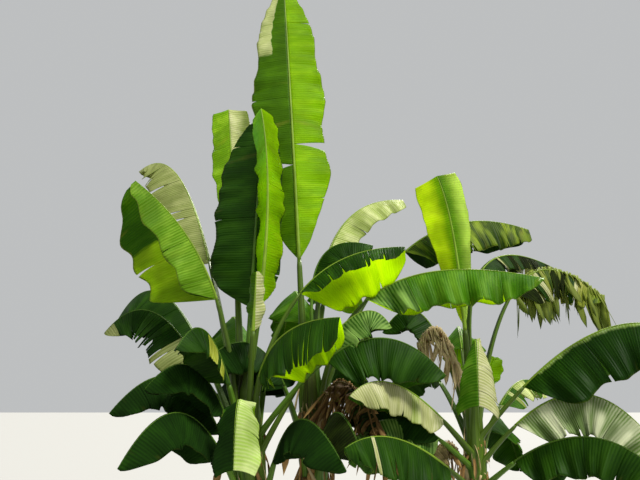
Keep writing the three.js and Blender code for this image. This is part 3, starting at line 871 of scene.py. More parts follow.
STALK_SEAT = 0.008
STALK_BASE = 0.03
STALK_NECK = 0.015
SHEATH_RUN = 0.26
STALK_POINTS = 15
RIB_POINTS = 56
TIP_FALL = 0.52
TIP_ROUNDNESS = 0.75
MARGIN_POWER = 2.2
RUFFLE_WAVES = 23
MIN_HALF_WIDTH = 0.006
TEAR_HALF_GAP = 0.012
PATH_POINTS = 400
COLUMN_STEP = 0.0068
ROWS = 13
SKIN = (0.0024, 0.0014)
VEIN_PITCH = 0.021
VEIN_DRIFT = 11
VEIN_BEND = 1.5
RUFFLE_PITCHES = (26, 61)
RUFFLE_REACH = 0.55
CURTAIN_PITCH = 71
CRUMPLES = ((47, 6, 1), (90, -9, 0), (23, 13, 0))
SHRED_SPAN = (0.12, 0.93)
SHRED_SPACING = 0.02
SHRED_GAP = (0.0015, 0.006)
SHEATH_DEPTH = 0.03
SHEATH_SPREAD = 1.15
RIB_START = 0.8
RIB_TIP = 0.0022
RIB_END = 0.998
RIB_SINK = 0.35
FRINGE_POINTS = 40
FULL_LOUVER = 0.12
DROOP_SPREAD = 7
LIMP_DROOP = 6
LOUVER_SPREAD = 9
SWAY_SPREAD = 0.1


@dataclass(frozen=True)
class Leaf:
    """One leaf: a channelled stalk that runs on as the rib of a folded, partly torn blade.

    Its crest and tip are given as (out, up) from the stem's crown. Crumple is how far a dry blade
    buckles.
    """

    name: str
    stem: Stem
    foot: float
    azimuth: float
    crest: Pair
    tip: Pair
    stalk: float
    width: float
    left: Half
    right: Half
    bow: float = 0.0
    roll: float = 0.0
    blunt: float = 0.1
    rise: float = 0.18
    ruffle: float = 0.05
    stout: float = 1.0
    tears: Tuple[Tear, ...] = ()
    rib: Bark = Bark.RIB
    slot: str = "leaf_green"
    crumple: float = 0.0
    vein_relief: float = 0.0016
    slant: float = 0.12
    fringe: Optional[Fringe] = None

    def path(self) -> Tuple[np.ndarray, np.ndarray]:
        """The midrib from the stem through its crest to its tip.

        Returns:
            Points along it at even shares of its parameter, and each one's distance from its foot.
        """
        angle = math.radians(self.azimuth)
        out = np.array((math.cos(angle), math.sin(angle), 0.0))
        aside = np.array((-out[1], out[0], 0.0))
        crown = np.array((*self.stem.crown, 0.0))

        def place(reach: Pair, bow: float = 0.0) -> np.ndarray:
            """A point that is given as (out, up), moved aside by bow."""
            return crown + out * reach[0] + aside * bow - DOWN * reach[1]

        foot = self.stem.axis(self.foot) + out * (self.stem.radius(self.foot) - STALK_SEAT)
        tip = place(self.tip)
        pull = 2 * place(self.crest, self.bow) - (foot + tip) / 2
        t = np.linspace(0, 1, PATH_POINTS)[:, None]
        points = foot * (1 - t) ** 2 + 2 * pull * t * (1 - t) + tip * t ** 2
        steps = np.linalg.norm(np.diff(points, axis=0), axis=1)
        return points, np.concatenate(([0], np.cumsum(steps)))


class LeafShell:
    """A leaf's visible mesh."""

    def __init__(self, leaf: Leaf, sweep: RibSweep, fringes: FringeMaker) -> None:
        """Works out the leaf's path.

        Args:
            leaf: The leaf.
            sweep: What makes its rib.
            fringes: What hangs its dry ribbons.
        """
        self.leaf = leaf
        self.sweep = sweep
        self.fringes = fringes
        self.points, self.run = leaf.path()
        self.length = self.run[-1]
        self.neck = leaf.stalk / self.length
        self.blade = self.length - leaf.stalk
        self.dice = np.random.default_rng(zlib.crc32(leaf.name.encode()))
        self.draft = Draft()

    def frames(self, share: np.ndarray) -> Tuple[np.ndarray, np.ndarray, np.ndarray, np.ndarray]:
        """The leaf's own axes along its length.

        Args:
            share: Shares of the leaf's length.

        Returns:
            The point on the midrib, and the directions along, to the right and up, at each share.
        """
        at = np.clip(share, 0, 1) * self.length
        centre, along = (
            np.stack([np.interp(at, self.run, column) for column in values.T], -1)
            for values in (self.points, np.gradient(self.points, self.run, axis=0))
        )
        along = unit(along)
        angle = math.radians(self.leaf.azimuth)
        side = np.array((math.sin(angle), -math.cos(angle), 0.0))
        right = unit(side - along * (along @ side)[:, None])
        roll = math.radians(self.leaf.roll)
        right = right * math.cos(roll) + np.cross(along, right) * math.sin(roll)
        return centre, along, right, np.cross(right, along)

    def half_width(self, u: np.ndarray, half: Half) -> np.ndarray:
        """Half the blade's width at shares of its length."""
        leaf = self.leaf
        opening = 1 - (1 - np.clip(u / leaf.rise, 0, 1)) ** MARGIN_POWER
        fall = np.clip((u - TIP_FALL) / (1 - TIP_FALL), 0, 1)
        closing = (1 - fall ** MARGIN_POWER) ** TIP_ROUNDNESS
        wave = 1 + leaf.ruffle * np.sin(u * RUFFLE_WAVES + leaf.azimuth)
        wide = leaf.width / 2 * half.share * opening * lerp(closing, 1, leaf.blunt) * wave
        return np.maximum(wide, MIN_HALF_WIDTH)

    def cuts(self, side: Side, half: Half) -> List[Cut]:
        """The borders of a half's strips, from base to tip."""
        cuts = [
            Cut(tear.at, tear.depth, TEAR_HALF_GAP * tear.wedge * self.blade)
            for tear in self.leaf.tears if tear.side is side
        ]
        for at in self.dice.uniform(*SHRED_SPAN, half.shreds):
            if all(abs(at - cut.at) > SHRED_SPACING for cut in cuts):
                cuts.append(Cut(at, self.dice.uniform(*half.reach), self.dice.uniform(*SHRED_GAP)))
        return [Cut(0.0), *sorted(cuts), Cut(1.0)]

    def strip(self, side: Side, half: Half, first: Cut, last: Cut) -> None:
        """Adds one strip of a half as a closed shell.

        Args:
            side: The half's side.
            half: The half.
            first: The strip's border towards the base.
            last: Its border towards the tip.
        """
        leaf, dice = self.leaf, self.dice
        columns = max(4, round((last.at - first.at) * self.blade / COLUMN_STEP)) + 1
        t = np.linspace(0, 1, columns)[:, None]
        v = np.linspace(0, 1, ROWS)
        opened = first.opening(v), last.opening(v)
        lower = first.at + first.gap / self.blade * opened[0]
        upper = last.at - last.gap / self.blade * opened[1]
        u = lower + (upper - lower) * t
        loose = opened[0] * (1 - t) + opened[1] * t
        base = u[:, 0]
        centre, along, right, up = self.frames(lerp(self.neck, 1, base))
        width = self.half_width(base, half)[:, None]
        narrow = min(1.0, (last.at - first.at) / FULL_LOUVER)
        droop = dice.normal(0, DROOP_SPREAD) - LIMP_DROOP * half.limp
        louver = dice.normal(0, LOUVER_SPREAD) * narrow
        sway = dice.normal(0, SWAY_SPREAD)
        stretch = dice.uniform(-half.steps, half.steps / 6)
        fold = np.radians(lerp(half.fold, half.tip_fold, u))
        curl = math.radians(half.curl)
        across = side.value * right
        rows = [centre]
        heads = []
        for j, (near, far) in enumerate(zip(v, v[1:])):
            middle = (near + far) / 2
            free = (loose[:, j] + loose[:, j + 1]) / 2
            tilt = fold[:, j] + curl * middle + np.radians(free * (droop + louver * (2 * t[:, 0] - 1)))
            head = across * np.cos(tilt)[:, None] + up * np.sin(tilt)[:, None]
            head = head + along * (leaf.slant * middle + sway * free)[:, None]
            head = unit(unit(head) + DOWN * (half.limp * free * middle * 2)[:, None])
            step = width[:, 0] * (far - near) * (1 + stretch * free)
            rows.append(rows[-1] + head * step[:, None])
            heads.append(head)
        heads = [heads[0], *heads]
        place = np.stack(rows, 1) + along[:, None, :] * ((u - u[:, :1]) * self.blade)[:, :, None]
        heads = np.stack(heads, 1)
        normal = unit(np.cross(heads, along[:, None, :]) * side.value)
        run = u * self.blade
        phase = dice.uniform(0, 6)
        swell = np.sin(2 * math.pi * run / VEIN_PITCH + VEIN_BEND * np.sin(run * VEIN_DRIFT + phase))
        bumps = leaf.vein_relief * (0.3 + 0.7 * v) * swell
        wave = np.sin(run * RUFFLE_PITCHES[0] + leaf.azimuth) + 0.6 * np.sin(run * RUFFLE_PITCHES[1] + phase)
        bumps = bumps + width * v ** 2 * leaf.ruffle * RUFFLE_REACH * wave
        curtain = np.sin(run * PLEAT_PITCH + 2 * np.sin(run * PLEAT_DRIFT))
        curtain = curtain + 0.4 * np.sin(run * CURTAIN_PITCH + leaf.azimuth)
        bumps = bumps + half.folds * v ** 1.4 * curtain
        if leaf.crumple:
            knead = sum(np.sin(run * a + b * v + c * phase) for a, b, c in CRUMPLES)
            bumps = bumps + leaf.crumple * v * knead
        place = place + normal * bumps[:, :, None]
        skin = (lerp(*SKIN, v) / 2)[:, None]
        self.close(np.stack([place + normal * skin, place - normal * skin]), run, v * side.value, side, half)

    def deal(self, tints: Tints) -> Tint:
        """One of a face's tints, by a seeded choice."""
        choice = tints if isinstance(tints, tuple) else (tints,)
        return choice[self.dice.integers(len(choice))]

    def close(self, faces: np.ndarray, run: np.ndarray, across: np.ndarray, side: Side, half: Half) -> None:
        """Closes a strip between its upper and lower face.

        Args:
            faces: The points of both faces, by face, column and row.
            run: Each point's distance along the blade.
            across: Each row's share of the way to the margin, with the half's sign.
            side: The half's side.
            half: The half.
        """
        _, columns, rows, _ = faces.shape
        grid = np.arange(columns * rows).reshape(columns, rows)
        a, b, c, d = grid[:-1, :-1], grid[1:, :-1], grid[1:, 1:], grid[:-1, 1:]
        ring = [a, d, c, b] if side is Side.RIGHT else [a, b, c, d]
        top = np.stack(ring, -1).reshape(-1, 4)
        under = top[:, ::-1] + grid.size
        edge = np.concatenate([grid[:, 0], grid[-1, 1:], grid[-2::-1, -1], grid[0, -2:0:-1]])
        following = np.roll(edge, -1)
        wall = np.stack([edge, following, following + grid.size, edge + grid.size], -1)
        wall = wall if side is Side.RIGHT else wall[:, ::-1]
        dealt = [self.deal(half.upper), self.deal(half.lower)]
        slots = np.repeat([self.draft.slot(tint) for tint in dealt], [len(top), len(under) + len(wall)])
        maps = np.stack(np.broadcast_arrays(run, np.abs(across)), -1)
        quads = np.concatenate([top, under, wall])
        smooth = np.arange(len(quads)) < 2 * len(top)
        totals = np.full(len(quads), 4)
        self.draft.add(faces, np.stack([maps, maps]), quads, totals, slots, smooth)

    def stalk_and_rib(self) -> None:
        """Adds the stalk, which starts as a sheath on the stem, and the rib to the blade's tip."""
        leaf, stem = self.leaf, self.leaf.stem
        stalk = np.linspace(0, self.neck, STALK_POINTS, endpoint=False)
        share = np.concatenate([stalk, np.linspace(self.neck, RIB_END, RIB_POINTS)])
        centre, _, _, up = self.frames(share)
        on_stalk = np.clip(share / self.neck, 0, 1)
        on_blade = np.clip((share - self.neck) / (1 - self.neck), 0, 1)
        stalk = lerp(STALK_BASE, STALK_NECK, np.sqrt(on_stalk))
        rib = lerp(STALK_NECK * RIB_START, RIB_TIP, on_blade ** 0.8)
        girth = np.where(share < self.neck, stalk, rib) * leaf.stout
        centre = centre - up * (girth * RIB_SINK * on_stalk)[:, None]
        low = np.linspace(-SHEATH_RUN, 0, 7)[:-1]
        out = unit((self.points[0] - stem.axis(leaf.foot)) * np.array((1.0, 1.0, 0.0)))
        heights = leaf.foot + low
        sunk = lerp(SHEATH_DEPTH, STALK_SEAT, 1 + low / SHEATH_RUN)
        sheath = stem.axis(heights) + out * (stem.radius(heights) - sunk)[:, None]
        wide = STALK_BASE * leaf.stout * lerp(SHEATH_SPREAD, 1.0, 1 + low / SHEATH_RUN)
        path = np.vstack([sheath, centre])
        ups = np.vstack([np.tile(up[0], (len(low), 1)), up])
        distance = np.concatenate([low, share * self.length])
        girths = np.concatenate([wide, girth])
        neck = len(low) + STALK_POINTS
        skin = Bark.STALK if leaf.rib is Bark.RIB else leaf.rib
        for part, finish in ((slice(0, neck + 1), skin), (slice(neck, None), leaf.rib)):
            mesh = self.sweep.rib(path[part], ups[part], girths[part], distance[part], finish)
            self.draft.add_mesh(mesh, finish)

    def build(self) -> bpy.types.Object:
        """Builds the leaf.

        Returns:
            The leaf's object.
        """
        for side, half in ((Side.LEFT, self.leaf.left), (Side.RIGHT, self.leaf.right)):
            cuts = self.cuts(side, half)
            for first, last in zip(cuts, cuts[1:]):
                self.strip(side, half, first, last)
        self.stalk_and_rib()
        if self.leaf.fringe:
            fringe = self.leaf.fringe
            blade = np.linspace(fringe.start, fringe.end, FRINGE_POINTS)
            path = self.frames(lerp(self.neck, 1, blade))[0]
            seed = zlib.crc32(self.leaf.name.encode()) % 1000
            self.draft.add_mesh(self.fringes.hang(path, fringe, seed), fringe.finish)
        return self.draft.build(f"{self.leaf.name}_blade")


MAIN = Stem("main", (0.0, 0.0), (-0.055, 0.0), 1.5, 1.76, (0.092, 0.056, 0.026))
LEFT_STEM = Stem("left", (-0.2, -0.095), (-0.37, -0.15), 1.42, 1.64, (0.094, 0.062, 0.028))
RIGHT_STEM = Stem("right", (0.77, 0.06), (0.815, 0.06), 1.3, 1.56, (0.068, 0.044, 0.022))


def shaded_leaf(*place: object, hang: Tuple[float, float, float], upper: Tints = Tint.SHADOW,
              lower: Tints = Tint.SHADOW, bow: float = 0.0, **looks: object) -> Leaf:
    """A leaf from deep in a crown or from its back, in painted shade tints unless others are given.

    Args:
        place: Its name, stem, foot, azimuth, crest, tip, stalk and width.
        hang: The fold at its base and at its tip, and the curl, of both halves.
        upper: The tints of its upper face.
        lower: The tints of its lower face.
        bow: How far its crest stands aside.
        looks: What else is said of both halves.

    Returns:
        The leaf.
    """
    halves = both(upper, lower, *hang, **looks)
    return Leaf(*place, *halves, bow=bow, slot="leaf_deep", rib=Bark.DEEP_RIB)


def leaves() -> List[Leaf]:
    """Every leaf, with the places of the solids and how each face looks.

    Returns:
        The leaves.
    """
    return [
        Leaf("leaf_tall", MAIN, 1.64, 165, (0.125, 3.0), (0.225, 4.387), 0.64, 0.5,
             Half(Tint.LIT, Tint.LIME, 8, 4, 10, 0.9, shreds=3),
             Half(Tint.LIT, Tint.TALL_SHADED, 8, 4, 10, shreds=3), roll=105, rise=0.35, ruffle=0.07,
             slot="leaf_bright", tears=(Tear(Side.LEFT, 0.37, 0.95), Tear(Side.RIGHT, 0.3, 0.95, 2.5))),
        Leaf("leaf_shade", LEFT_STEM, 1.53, 85, (0.025, 2.385), (0.091, 3.19), 0.44, 0.53,
             Half(Tint.DEEP, Tint.DEEP, 14, 6, 10, 0.55), Half(Tint.DEEP, Tint.DEEP, 14, 6, 10), bow=0.006,
             roll=183, ruffle=0.03, rib=Bark.DEEP_RIB, slot="leaf_deep"),
        Leaf("leaf_bright", LEFT_STEM, 1.54, 278, (0.11, 2.4), (0.08, 3.15), 0.42, 0.32,
             Half(Tint.VIVID, Tint.VIVID, 62, 52, 12, shreds=1),
             Half(Tint.VIVID, Tint.BRIGHT_TOP, 62, 52, 12, shreds=0), bow=0.06, roll=-8, blunt=0.7,
             slot="leaf_bright"),
        Leaf("leaf_behind", LEFT_STEM, 1.48, 131, (0.31, 2.6), (0.41, 3.4), 0.8, 0.36,
             Half(Tint.LIT, Tint.CREAM, 36, 30), Half(Tint.LIT, Tint.LIT, 36, 30), bow=-0.04, roll=139,
             blunt=0.7, rise=0.9, slot="leaf_pale"),
        Leaf("leaf_young", LEFT_STEM, 1.4, 281, (0.215, 1.9), (0.255, 2.1), 0.44, 0.15,
             Half(Tint.LIME, Tint.CREAM, 52, 40, 20, shreds=0),
             Half(Tint.LIME, Tint.OLIVE, 52, 40, 20, shreds=0), roll=-11, rise=0.1, stout=0.8,
             slot="leaf_pale"),
        Leaf("leaf_stand", RIGHT_STEM, 1.44, 226, (0.083, 2.292), (0.161, 2.789), 0.43, 0.4,
             Half(Tint.VIVID, Tint.STAND_SMOOTH, 50, 36, 15, shreds=0, folds=0.002),
             Half(Tint.VIVID, Tint.STAND_FLARE, 36, 26, 10, shreds=0, folds=0.003), bow=0.04, roll=30,
             blunt=0.85, rise=1.1, ruffle=0.02, slot="leaf_bright", vein_relief=0.0008),
        Leaf("leaf_left", LEFT_STEM, 1.4, 211, (0.25, 2.11), (0.665, 2.55), 0.61, 0.56,
             Half(Tint.LIT, Tint.GREEN, -74, -70, -6, 0.62),
             Half(Tint.LIT, Tint.LEFT_FAR, -50, -46, -10, 1.15, shreds=1), blunt=0.2),
        Leaf("leaf_left_back", LEFT_STEM, 1.44, 153, (0.6, 2.79), (1.0, 2.995), 0.9, 0.5,
             Half(Tint.KHAKI, Tint.OLIVE, -46, -54, -14, shreds=6, reach=(0.4, 0.8)),
             Half(Tint.KHAKI, Tint.KHAKI, -42, -40, -10, shreds=4, reach=(0.3, 0.7)), bow=-0.07,
             slot="leaf_pale",
             tears=(Tear(Side.LEFT, 0.32, 0.8), Tear(Side.LEFT, 0.62, 0.7), Tear(Side.RIGHT, 0.45, 0.7))),
        Leaf("leaf_sunlit", LEFT_STEM, 1.5, 352, (0.306, 2.1), (0.824, 2.272), 0.59, 0.5,
             Half(Tint.VIVID, Tint.VIVID, -60, -66, -10),
             Half(Tint.DEEP, Tint.LIME, -44, -48, -10, 0.55, shreds=9, reach=(0.3, 0.6), steps=0.5),
             bow=0.015, blunt=0.3, slot="leaf_bright"),
        Leaf("leaf_front", LEFT_STEM, 1.33, 312, (0.25, 1.73), (0.67, 1.835), 0.3, 0.43,
             Half(Tint.VIVID, Tint.VIVID, -44, -56, -20),
             Half(Tint.DEEP, Tint.LIME, -58, -70, -14, shreds=8, reach=(0.1, 0.45), folds=0.016), bow=-0.05,
             blunt=0.4, tears=(Tear(Side.RIGHT, 0.7, 0.6),)),
        Leaf("leaf_dark_arch", LEFT_STEM, 1.34, 350, (0.567, 1.778), (0.981, 1.608), 0.48, 0.42,
             Half(Tint.MOSS, Tint.SHADOW, -48, -60, -10),
             Half(Tint.DEEP, Tint.MOSS, -62, -72, -14, shreds=4, folds=0.016), bow=-0.025, rib=Bark.DEEP_RIB,
             slot="leaf_deep"),
        Leaf("leaf_yellow", LEFT_STEM, 1.3, 245, (0.33, 1.77), (0.56, 1.7), 0.3, 0.31,
             Half((Tint.YELLOW, Tint.DEEP, Tint.DEEP), Tint.DEEP, -50, -60, -10, shreds=7, steps=0.4),
             Half(Tint.DEEP, Tint.DEEP, -36, -46, shreds=3), rib=Bark.DEEP_RIB, slot="leaf_dry"),
        Leaf("leaf_mid_left", LEFT_STEM, 1.24, 178, (0.45, 1.9), (0.785, 1.835), 0.42, 0.4,
             Half((Tint.DEEP, Tint.SHADOW, Tint.DEEP, Tint.KHAKI), Tint.SHADOW, -52, -62, -12, shreds=14,
                  reach=(0.5, 0.9), steps=0.3), Half(Tint.DEEP, Tint.SHADOW, -40, -50, shreds=5),
             rib=Bark.DEEP_RIB, slot="leaf_deep", tears=(Tear(Side.LEFT, 0.5, 0.7),)),
        shaded_leaf("leaf_left_low_back", LEFT_STEM, 1.3, 154, (0.62, 2.08), (1.0, 1.96), 0.64, 0.39,
                  hang=(-46, -56, -12), upper=Tint.DEEP, lower=Tint.DEEP, bow=-0.03, shreds=4),
        shaded_leaf("leaf_shadow_upper", LEFT_STEM, 1.12, 200, (0.33, 1.59), (0.64, 1.44), 0.24, 0.36,
                  hang=(-40, -56, -14)),
        shaded_leaf("leaf_shadow_lower", LEFT_STEM, 1.04, 227, (0.35, 1.44), (0.64, 1.24), 0.21, 0.34,
                  hang=(-38, -54, -14)),
        Leaf("leaf_hanging", LEFT_STEM, 1.12, 272, (0.3, 1.5), (0.43, 1.23), 0.3, 0.31,
             Half(Tint.FAN, Tint.LIME, -30, -20, shreds=3, reach=(0.3, 0.8), folds=0.014, steps=0.5),
             Half(Tint.SHADOW, Tint.MOSS, -44, -34), blunt=0.6, rise=1.2, slant=0.6,
             tears=(Tear(Side.LEFT, 0.3, 0.75, 3.0),)),
        Leaf("leaf_ribbed_middle", LEFT_STEM, 1.27, 354, (0.486, 1.874), (0.735, 1.848), 0.54, 0.33,
             *both(Tint.RIBBED, Tint.DEEP, -50, -60, -12, shreds=4)),
        shaded_leaf("leaf_shadow_middle", LEFT_STEM, 1.21, 226, (0.3, 1.63), (0.56, 1.54), 0.24, 0.34,
                  hang=(-40, -54, -12)),
        shaded_leaf("leaf_shadow_front", LEFT_STEM, 1.02, 322, (0.32, 1.41), (0.6, 1.22), 0.22, 0.33,
                  hang=(-42, -56, -12)),
        shaded_leaf("leaf_shadow_inner", LEFT_STEM, 1.25, 70, (0.3, 1.8), (0.6, 1.66), 0.3, 0.38,
                  hang=(-34, -48, -12)),
        Leaf("leaf_back_left", LEFT_STEM, 1.36, 112, (0.42, 1.98), (0.88, 1.64), 0.42, 0.42,
             *both(Tint.GREEN, Tint.MOSS, -36, -54, -14, shreds=4), tears=(Tear(Side.RIGHT, 0.55, 0.7),)),
        shaded_leaf("leaf_back_left_low", LEFT_STEM, 1.16, 138, (0.42, 1.6), (0.8, 1.23), 0.33, 0.38,
                  hang=(-38, -56, -12), upper=Tint.MOSS, lower=Tint.DEEP, shreds=4),
        shaded_leaf("leaf_back_sunlit", MAIN, 1.58, 0, (0.03, 2.25), (0.362, 2.363), 0.56, 0.34,
                  hang=(-52, -58, -10), upper=Tint.DEEP, lower=Tint.DEEP, bow=0.02),
        Leaf("leaf_right_back", MAIN, 1.58, 37, (0.25, 2.5), (0.805, 2.861), 0.8, 0.32,
             Half(Tint.PALE, (Tint.PALE, Tint.YELLOW), -36, -40), Half(Tint.PALE, Tint.PALE, -46, -52, -12),
             bow=0.085, blunt=0.4, slot="leaf_pale"),
        Leaf("leaf_long", MAIN, 1.5, 348, (0.42, 2.085), (1.235, 2.105), 0.6, 0.44,
             Half(Tint.VIVID, Tint.VIVID, -44, -54, -14),
             Half((Tint.RIBBED, Tint.GREEN, Tint.GREEN), Tint.LIME, -60, -66, -12, shreds=7,
                  reach=(0.1, 0.3), folds=0.03), bow=-0.045, ruffle=0.07,
             tears=(Tear(Side.LEFT, 0.55, 0.7),)),
        Leaf("leaf_upper_right", MAIN, 1.5, 16, (0.7, 2.46), (1.55, 2.615), 1.06, 0.48,
             Half(Tint.MARBLED, Tint.SHADOW, -46, -50, -12),
             Half(Tint.MARBLED, Tint.DEEP, -60, -64, -12, shreds=9, folds=0.016, steps=0.3), bow=0.03,
             blunt=0.4, tears=(Tear(Side.RIGHT, 0.35, 0.6), Tear(Side.LEFT, 0.6, 0.7))),
        Leaf("leaf_dead_middle", MAIN, 1.4, 322, (0.21, 1.59), (0.45, 1.33), 0.15, 0.27,
             *both((Tint.BROWN, Tint.DARK, Tint.BROWN), Tint.BROWN, -24, -32, -6, shreds=18,
                   reach=(0.5, 0.95), limp=0.9, steps=0.6), ruffle=0.12, stout=0.8, rib=Bark.DRY_RIB,
             slot="leaf_dry", crumple=0.01, fringe=Fringe(110, 0.3, 0.014, 0.6, Bark.DRY_SHEATH)),
        Leaf("leaf_back_high", MAIN, 1.53, 72, (0.43, 2.33), (1.01, 2.14), 0.56, 0.45,
             *both(Tint.GREEN, Tint.LIME, -34, -50, -14, shreds=4), tears=(Tear(Side.RIGHT, 0.5, 0.7),)),
        Leaf("leaf_back_middle", MAIN, 1.47, 104, (0.44, 2.18), (0.98, 1.85), 0.5, 0.45,
             *both(Tint.GREEN, Tint.MOSS, -30, -50, -16, shreds=4), tears=(Tear(Side.LEFT, 0.42, 0.7),)),
        shaded_leaf("leaf_back_low", MAIN, 1.36, 58, (0.4, 1.76), (0.82, 1.38), 0.36, 0.4,
                  hang=(-40, -58, -14), upper=Tint.MOSS, lower=Tint.DEEP, shreds=4),
        shaded_leaf("leaf_shadow_left", MAIN, 1.29, 205, (0.3, 1.76), (0.62, 1.64), 0.3, 0.4,
                  hang=(-40, -54, -12)),
        shaded_leaf("leaf_shadow_back", MAIN, 1.26, 150, (0.33, 1.7), (0.7, 1.48), 0.28, 0.4,
                  hang=(-38, -54, -12)),
        shaded_leaf("leaf_shadow_right", MAIN, 1.18, 346, (0.33, 1.5), (0.65, 1.32), 0.23, 0.38,
                  hang=(-42, -56, -12)),
        shaded_leaf("leaf_shadow_low", MAIN, 1.13, 297, (0.26, 1.44), (0.52, 1.26), 0.2, 0.33,
                  hang=(-42, -56, -12), upper=Tint.DARK),
        Leaf("leaf_torn", RIGHT_STEM, 1.42, 1, (0.38, 2.18), (0.843, 2.06), 0.72, 0.42,
             *both((Tint.TATTERED, Tint.DARK, Tint.DEEP, Tint.CREAM, Tint.MARBLED),
                   (Tint.TATTERED, Tint.DARK, Tint.YELLOW), -66, -72, -10, shreds=28, reach=(0.6, 0.98),
                   limp=0.8, steps=0.5), slot="leaf_dry",
             tears=(Tear(Side.RIGHT, 0.2, 0.8), Tear(Side.RIGHT, 0.45, 0.8), Tear(Side.LEFT, 0.33, 0.8)),
             fringe=Fringe(76, 0.3, 0.02, 0.22, Bark.TORN, 0.1, 0.98)),
        Leaf("leaf_torn_back", RIGHT_STEM, 1.46, 24, (0.18, 2.26), (0.857, 2.312), 0.83, 0.25,
             *both((Tint.CREAM, Tint.DARK, Tint.DEEP, Tint.DARK), (Tint.CREAM, Tint.DARK), -54, -60, -10,
                   shreds=26, reach=(0.5, 0.95), limp=0.3, steps=0.3), slot="leaf_pale",
             tears=(Tear(Side.RIGHT, 0.4, 0.7), Tear(Side.LEFT, 0.6, 0.7))),
        Leaf("leaf_broad", RIGHT_STEM, 1.32, 330, (0.66, 1.83), (1.1, 1.71), 0.34, 0.52,
             Half(Tint.GREEN, Tint.MOSS, -40, -52, -12),
             Half(Tint.BROAD_NEAR, Tint.MOSS, -58, -66, -12, shreds=3, folds=0.012), bow=0.03,
             slot="leaf_deep", tears=(Tear(Side.RIGHT, 0.4, 0.75, 0.45), Tear(Side.RIGHT, 0.7, 0.9, 0.35))),
        Leaf("leaf_striped", RIGHT_STEM, 1.2, 332, (0.52, 1.53), (0.85, 1.22), 0.25, 0.42,
             Half(Tint.CREAM, Tint.MOSS, -40, -56, -12),
             Half(Tint.STRIPED, Tint.MOSS, -52, -64, -12, shreds=4, folds=0.02), slot="leaf_pale"),
        shaded_leaf("leaf_low_right", RIGHT_STEM, 1.08, 312, (0.52, 1.34), (0.86, 1.18), 0.22, 0.36,
                  hang=(-52, -64, -12), upper=Tint.DEEP, lower=Tint.DEEP, shreds=3, folds=0.024),
        Leaf("leaf_bent", RIGHT_STEM, 1.36, 258, (0.285, 1.79), (0.42, 1.47), 0.49, 0.4,
             Half(Tint.CREAM, Tint.MOSS, -26, -30, -8), Half(Tint.GREEN, Tint.MOSS, -26, -30, -8), bow=0.03,
             blunt=0.9, rise=2.2, slot="leaf_pale", slant=0.8),
        Leaf("leaf_pale", RIGHT_STEM, 1.24, 214, (0.5, 1.56), (0.83, 1.515), 0.26, 0.33,
             Half((Tint.CREAM, Tint.PALE), Tint.MOSS, -56, -66, -12, shreds=5, folds=0.016),
             Half(Tint.PALE, Tint.MOSS, -40, -52, -10), slot="leaf_pale"),
        shaded_leaf("leaf_ribbed_low", RIGHT_STEM, 1.17, 206, (0.43, 1.4), (0.725, 1.33), 0.24, 0.32,
                  hang=(-50, -62, -12), upper=Tint.RIBBED, lower=Tint.DEEP, shreds=3),
        Leaf("leaf_low_left", RIGHT_STEM, 1.06, 220, (0.56, 1.32), (0.94, 1.31), 0.24, 0.4,
             Half((Tint.DEEP, Tint.CREAM, Tint.DEEP, Tint.DEEP), Tint.MOSS, -60, -70, -12, shreds=10,
                  reach=(0.3, 0.8), folds=0.02), Half(Tint.GREEN, Tint.MOSS, -42, -52, -10),
             tears=(Tear(Side.LEFT, 0.6, 0.6),)),
        Leaf("leaf_behind_long", RIGHT_STEM, 1.4, 163, (0.22, 1.97), (0.47, 1.88), 0.43, 0.28,
             *both(Tint.DEEP, Tint.DEEP, -52, -62, -10), slot="leaf_deep"),
        Leaf("leaf_dead", RIGHT_STEM, 1.4, 192, (0.12, 1.85), (0.29, 1.79), 0.34, 0.15,
             *both((Tint.STRAW, Tint.BROWN), (Tint.STRAW, Tint.BROWN), -70, -74, -4, shreds=26,
                   reach=(0.7, 0.98), limp=1.2, steps=0.6), ruffle=0.14, stout=0.8, rib=Bark.DRY_RIB,
             slot="leaf_dry", crumple=0.004, fringe=Fringe(90, 0.22, 0.011, 0.3, Bark.DRY_RIB, -0.2, 1.0)),
        Leaf("leaf_small", RIGHT_STEM, 1.33, 40, (0.165, 1.59), (0.29, 1.74), 0.25, 0.18,
             *both(Tint.LIME, Tint.LIME, 30, 20), roll=20, stout=0.8, slot="leaf_bright"),
        Leaf("leaf_torn_low_back", RIGHT_STEM, 1.24, 26, (0.35, 1.59), (0.59, 1.52), 0.29, 0.26,
             *both((Tint.PALE, Tint.MOSS), Tint.PALE, -44, -54, -10, shreds=8, reach=(0.4, 0.9)), stout=0.8,
             slot="leaf_pale", tears=(Tear(Side.RIGHT, 0.5, 0.7),)),
        Leaf("leaf_dead_low", RIGHT_STEM, 1.1, 186, (0.15, 1.29), (0.3, 1.11), 0.14, 0.18,
             *both(Tint.STRAW, Tint.BROWN, -64, -70, -4, shreds=7, reach=(0.6, 0.98), limp=0.8), ruffle=0.14,
             stout=0.8, rib=Bark.DRY_RIB, slot="leaf_dry", crumple=0.006,
             fringe=Fringe(40, 0.2, 0.012, 0.4, Bark.DRY_SHEATH)),
        Leaf("leaf_back_right_high", RIGHT_STEM, 1.4, 78, (0.4, 1.95), (0.84, 1.69), 0.44, 0.42,
             *both(Tint.GREEN, Tint.LIME, -36, -52, -14, shreds=4), tears=(Tear(Side.LEFT, 0.5, 0.7),)),
        shaded_leaf("leaf_back_right_middle", RIGHT_STEM, 1.29, 122, (0.4, 1.72), (0.8, 1.4), 0.36, 0.4,
                  hang=(-36, -54, -14), upper=Tint.MOSS, lower=Tint.DEEP, shreds=4),
        shaded_leaf("leaf_back_right_low", RIGHT_STEM, 1.11, 54, (0.42, 1.4), (0.8, 1.08), 0.3, 0.36,
                  hang=(-38, -56, -14), upper=Tint.MOSS, lower=Tint.DEEP, shreds=4),
    ]


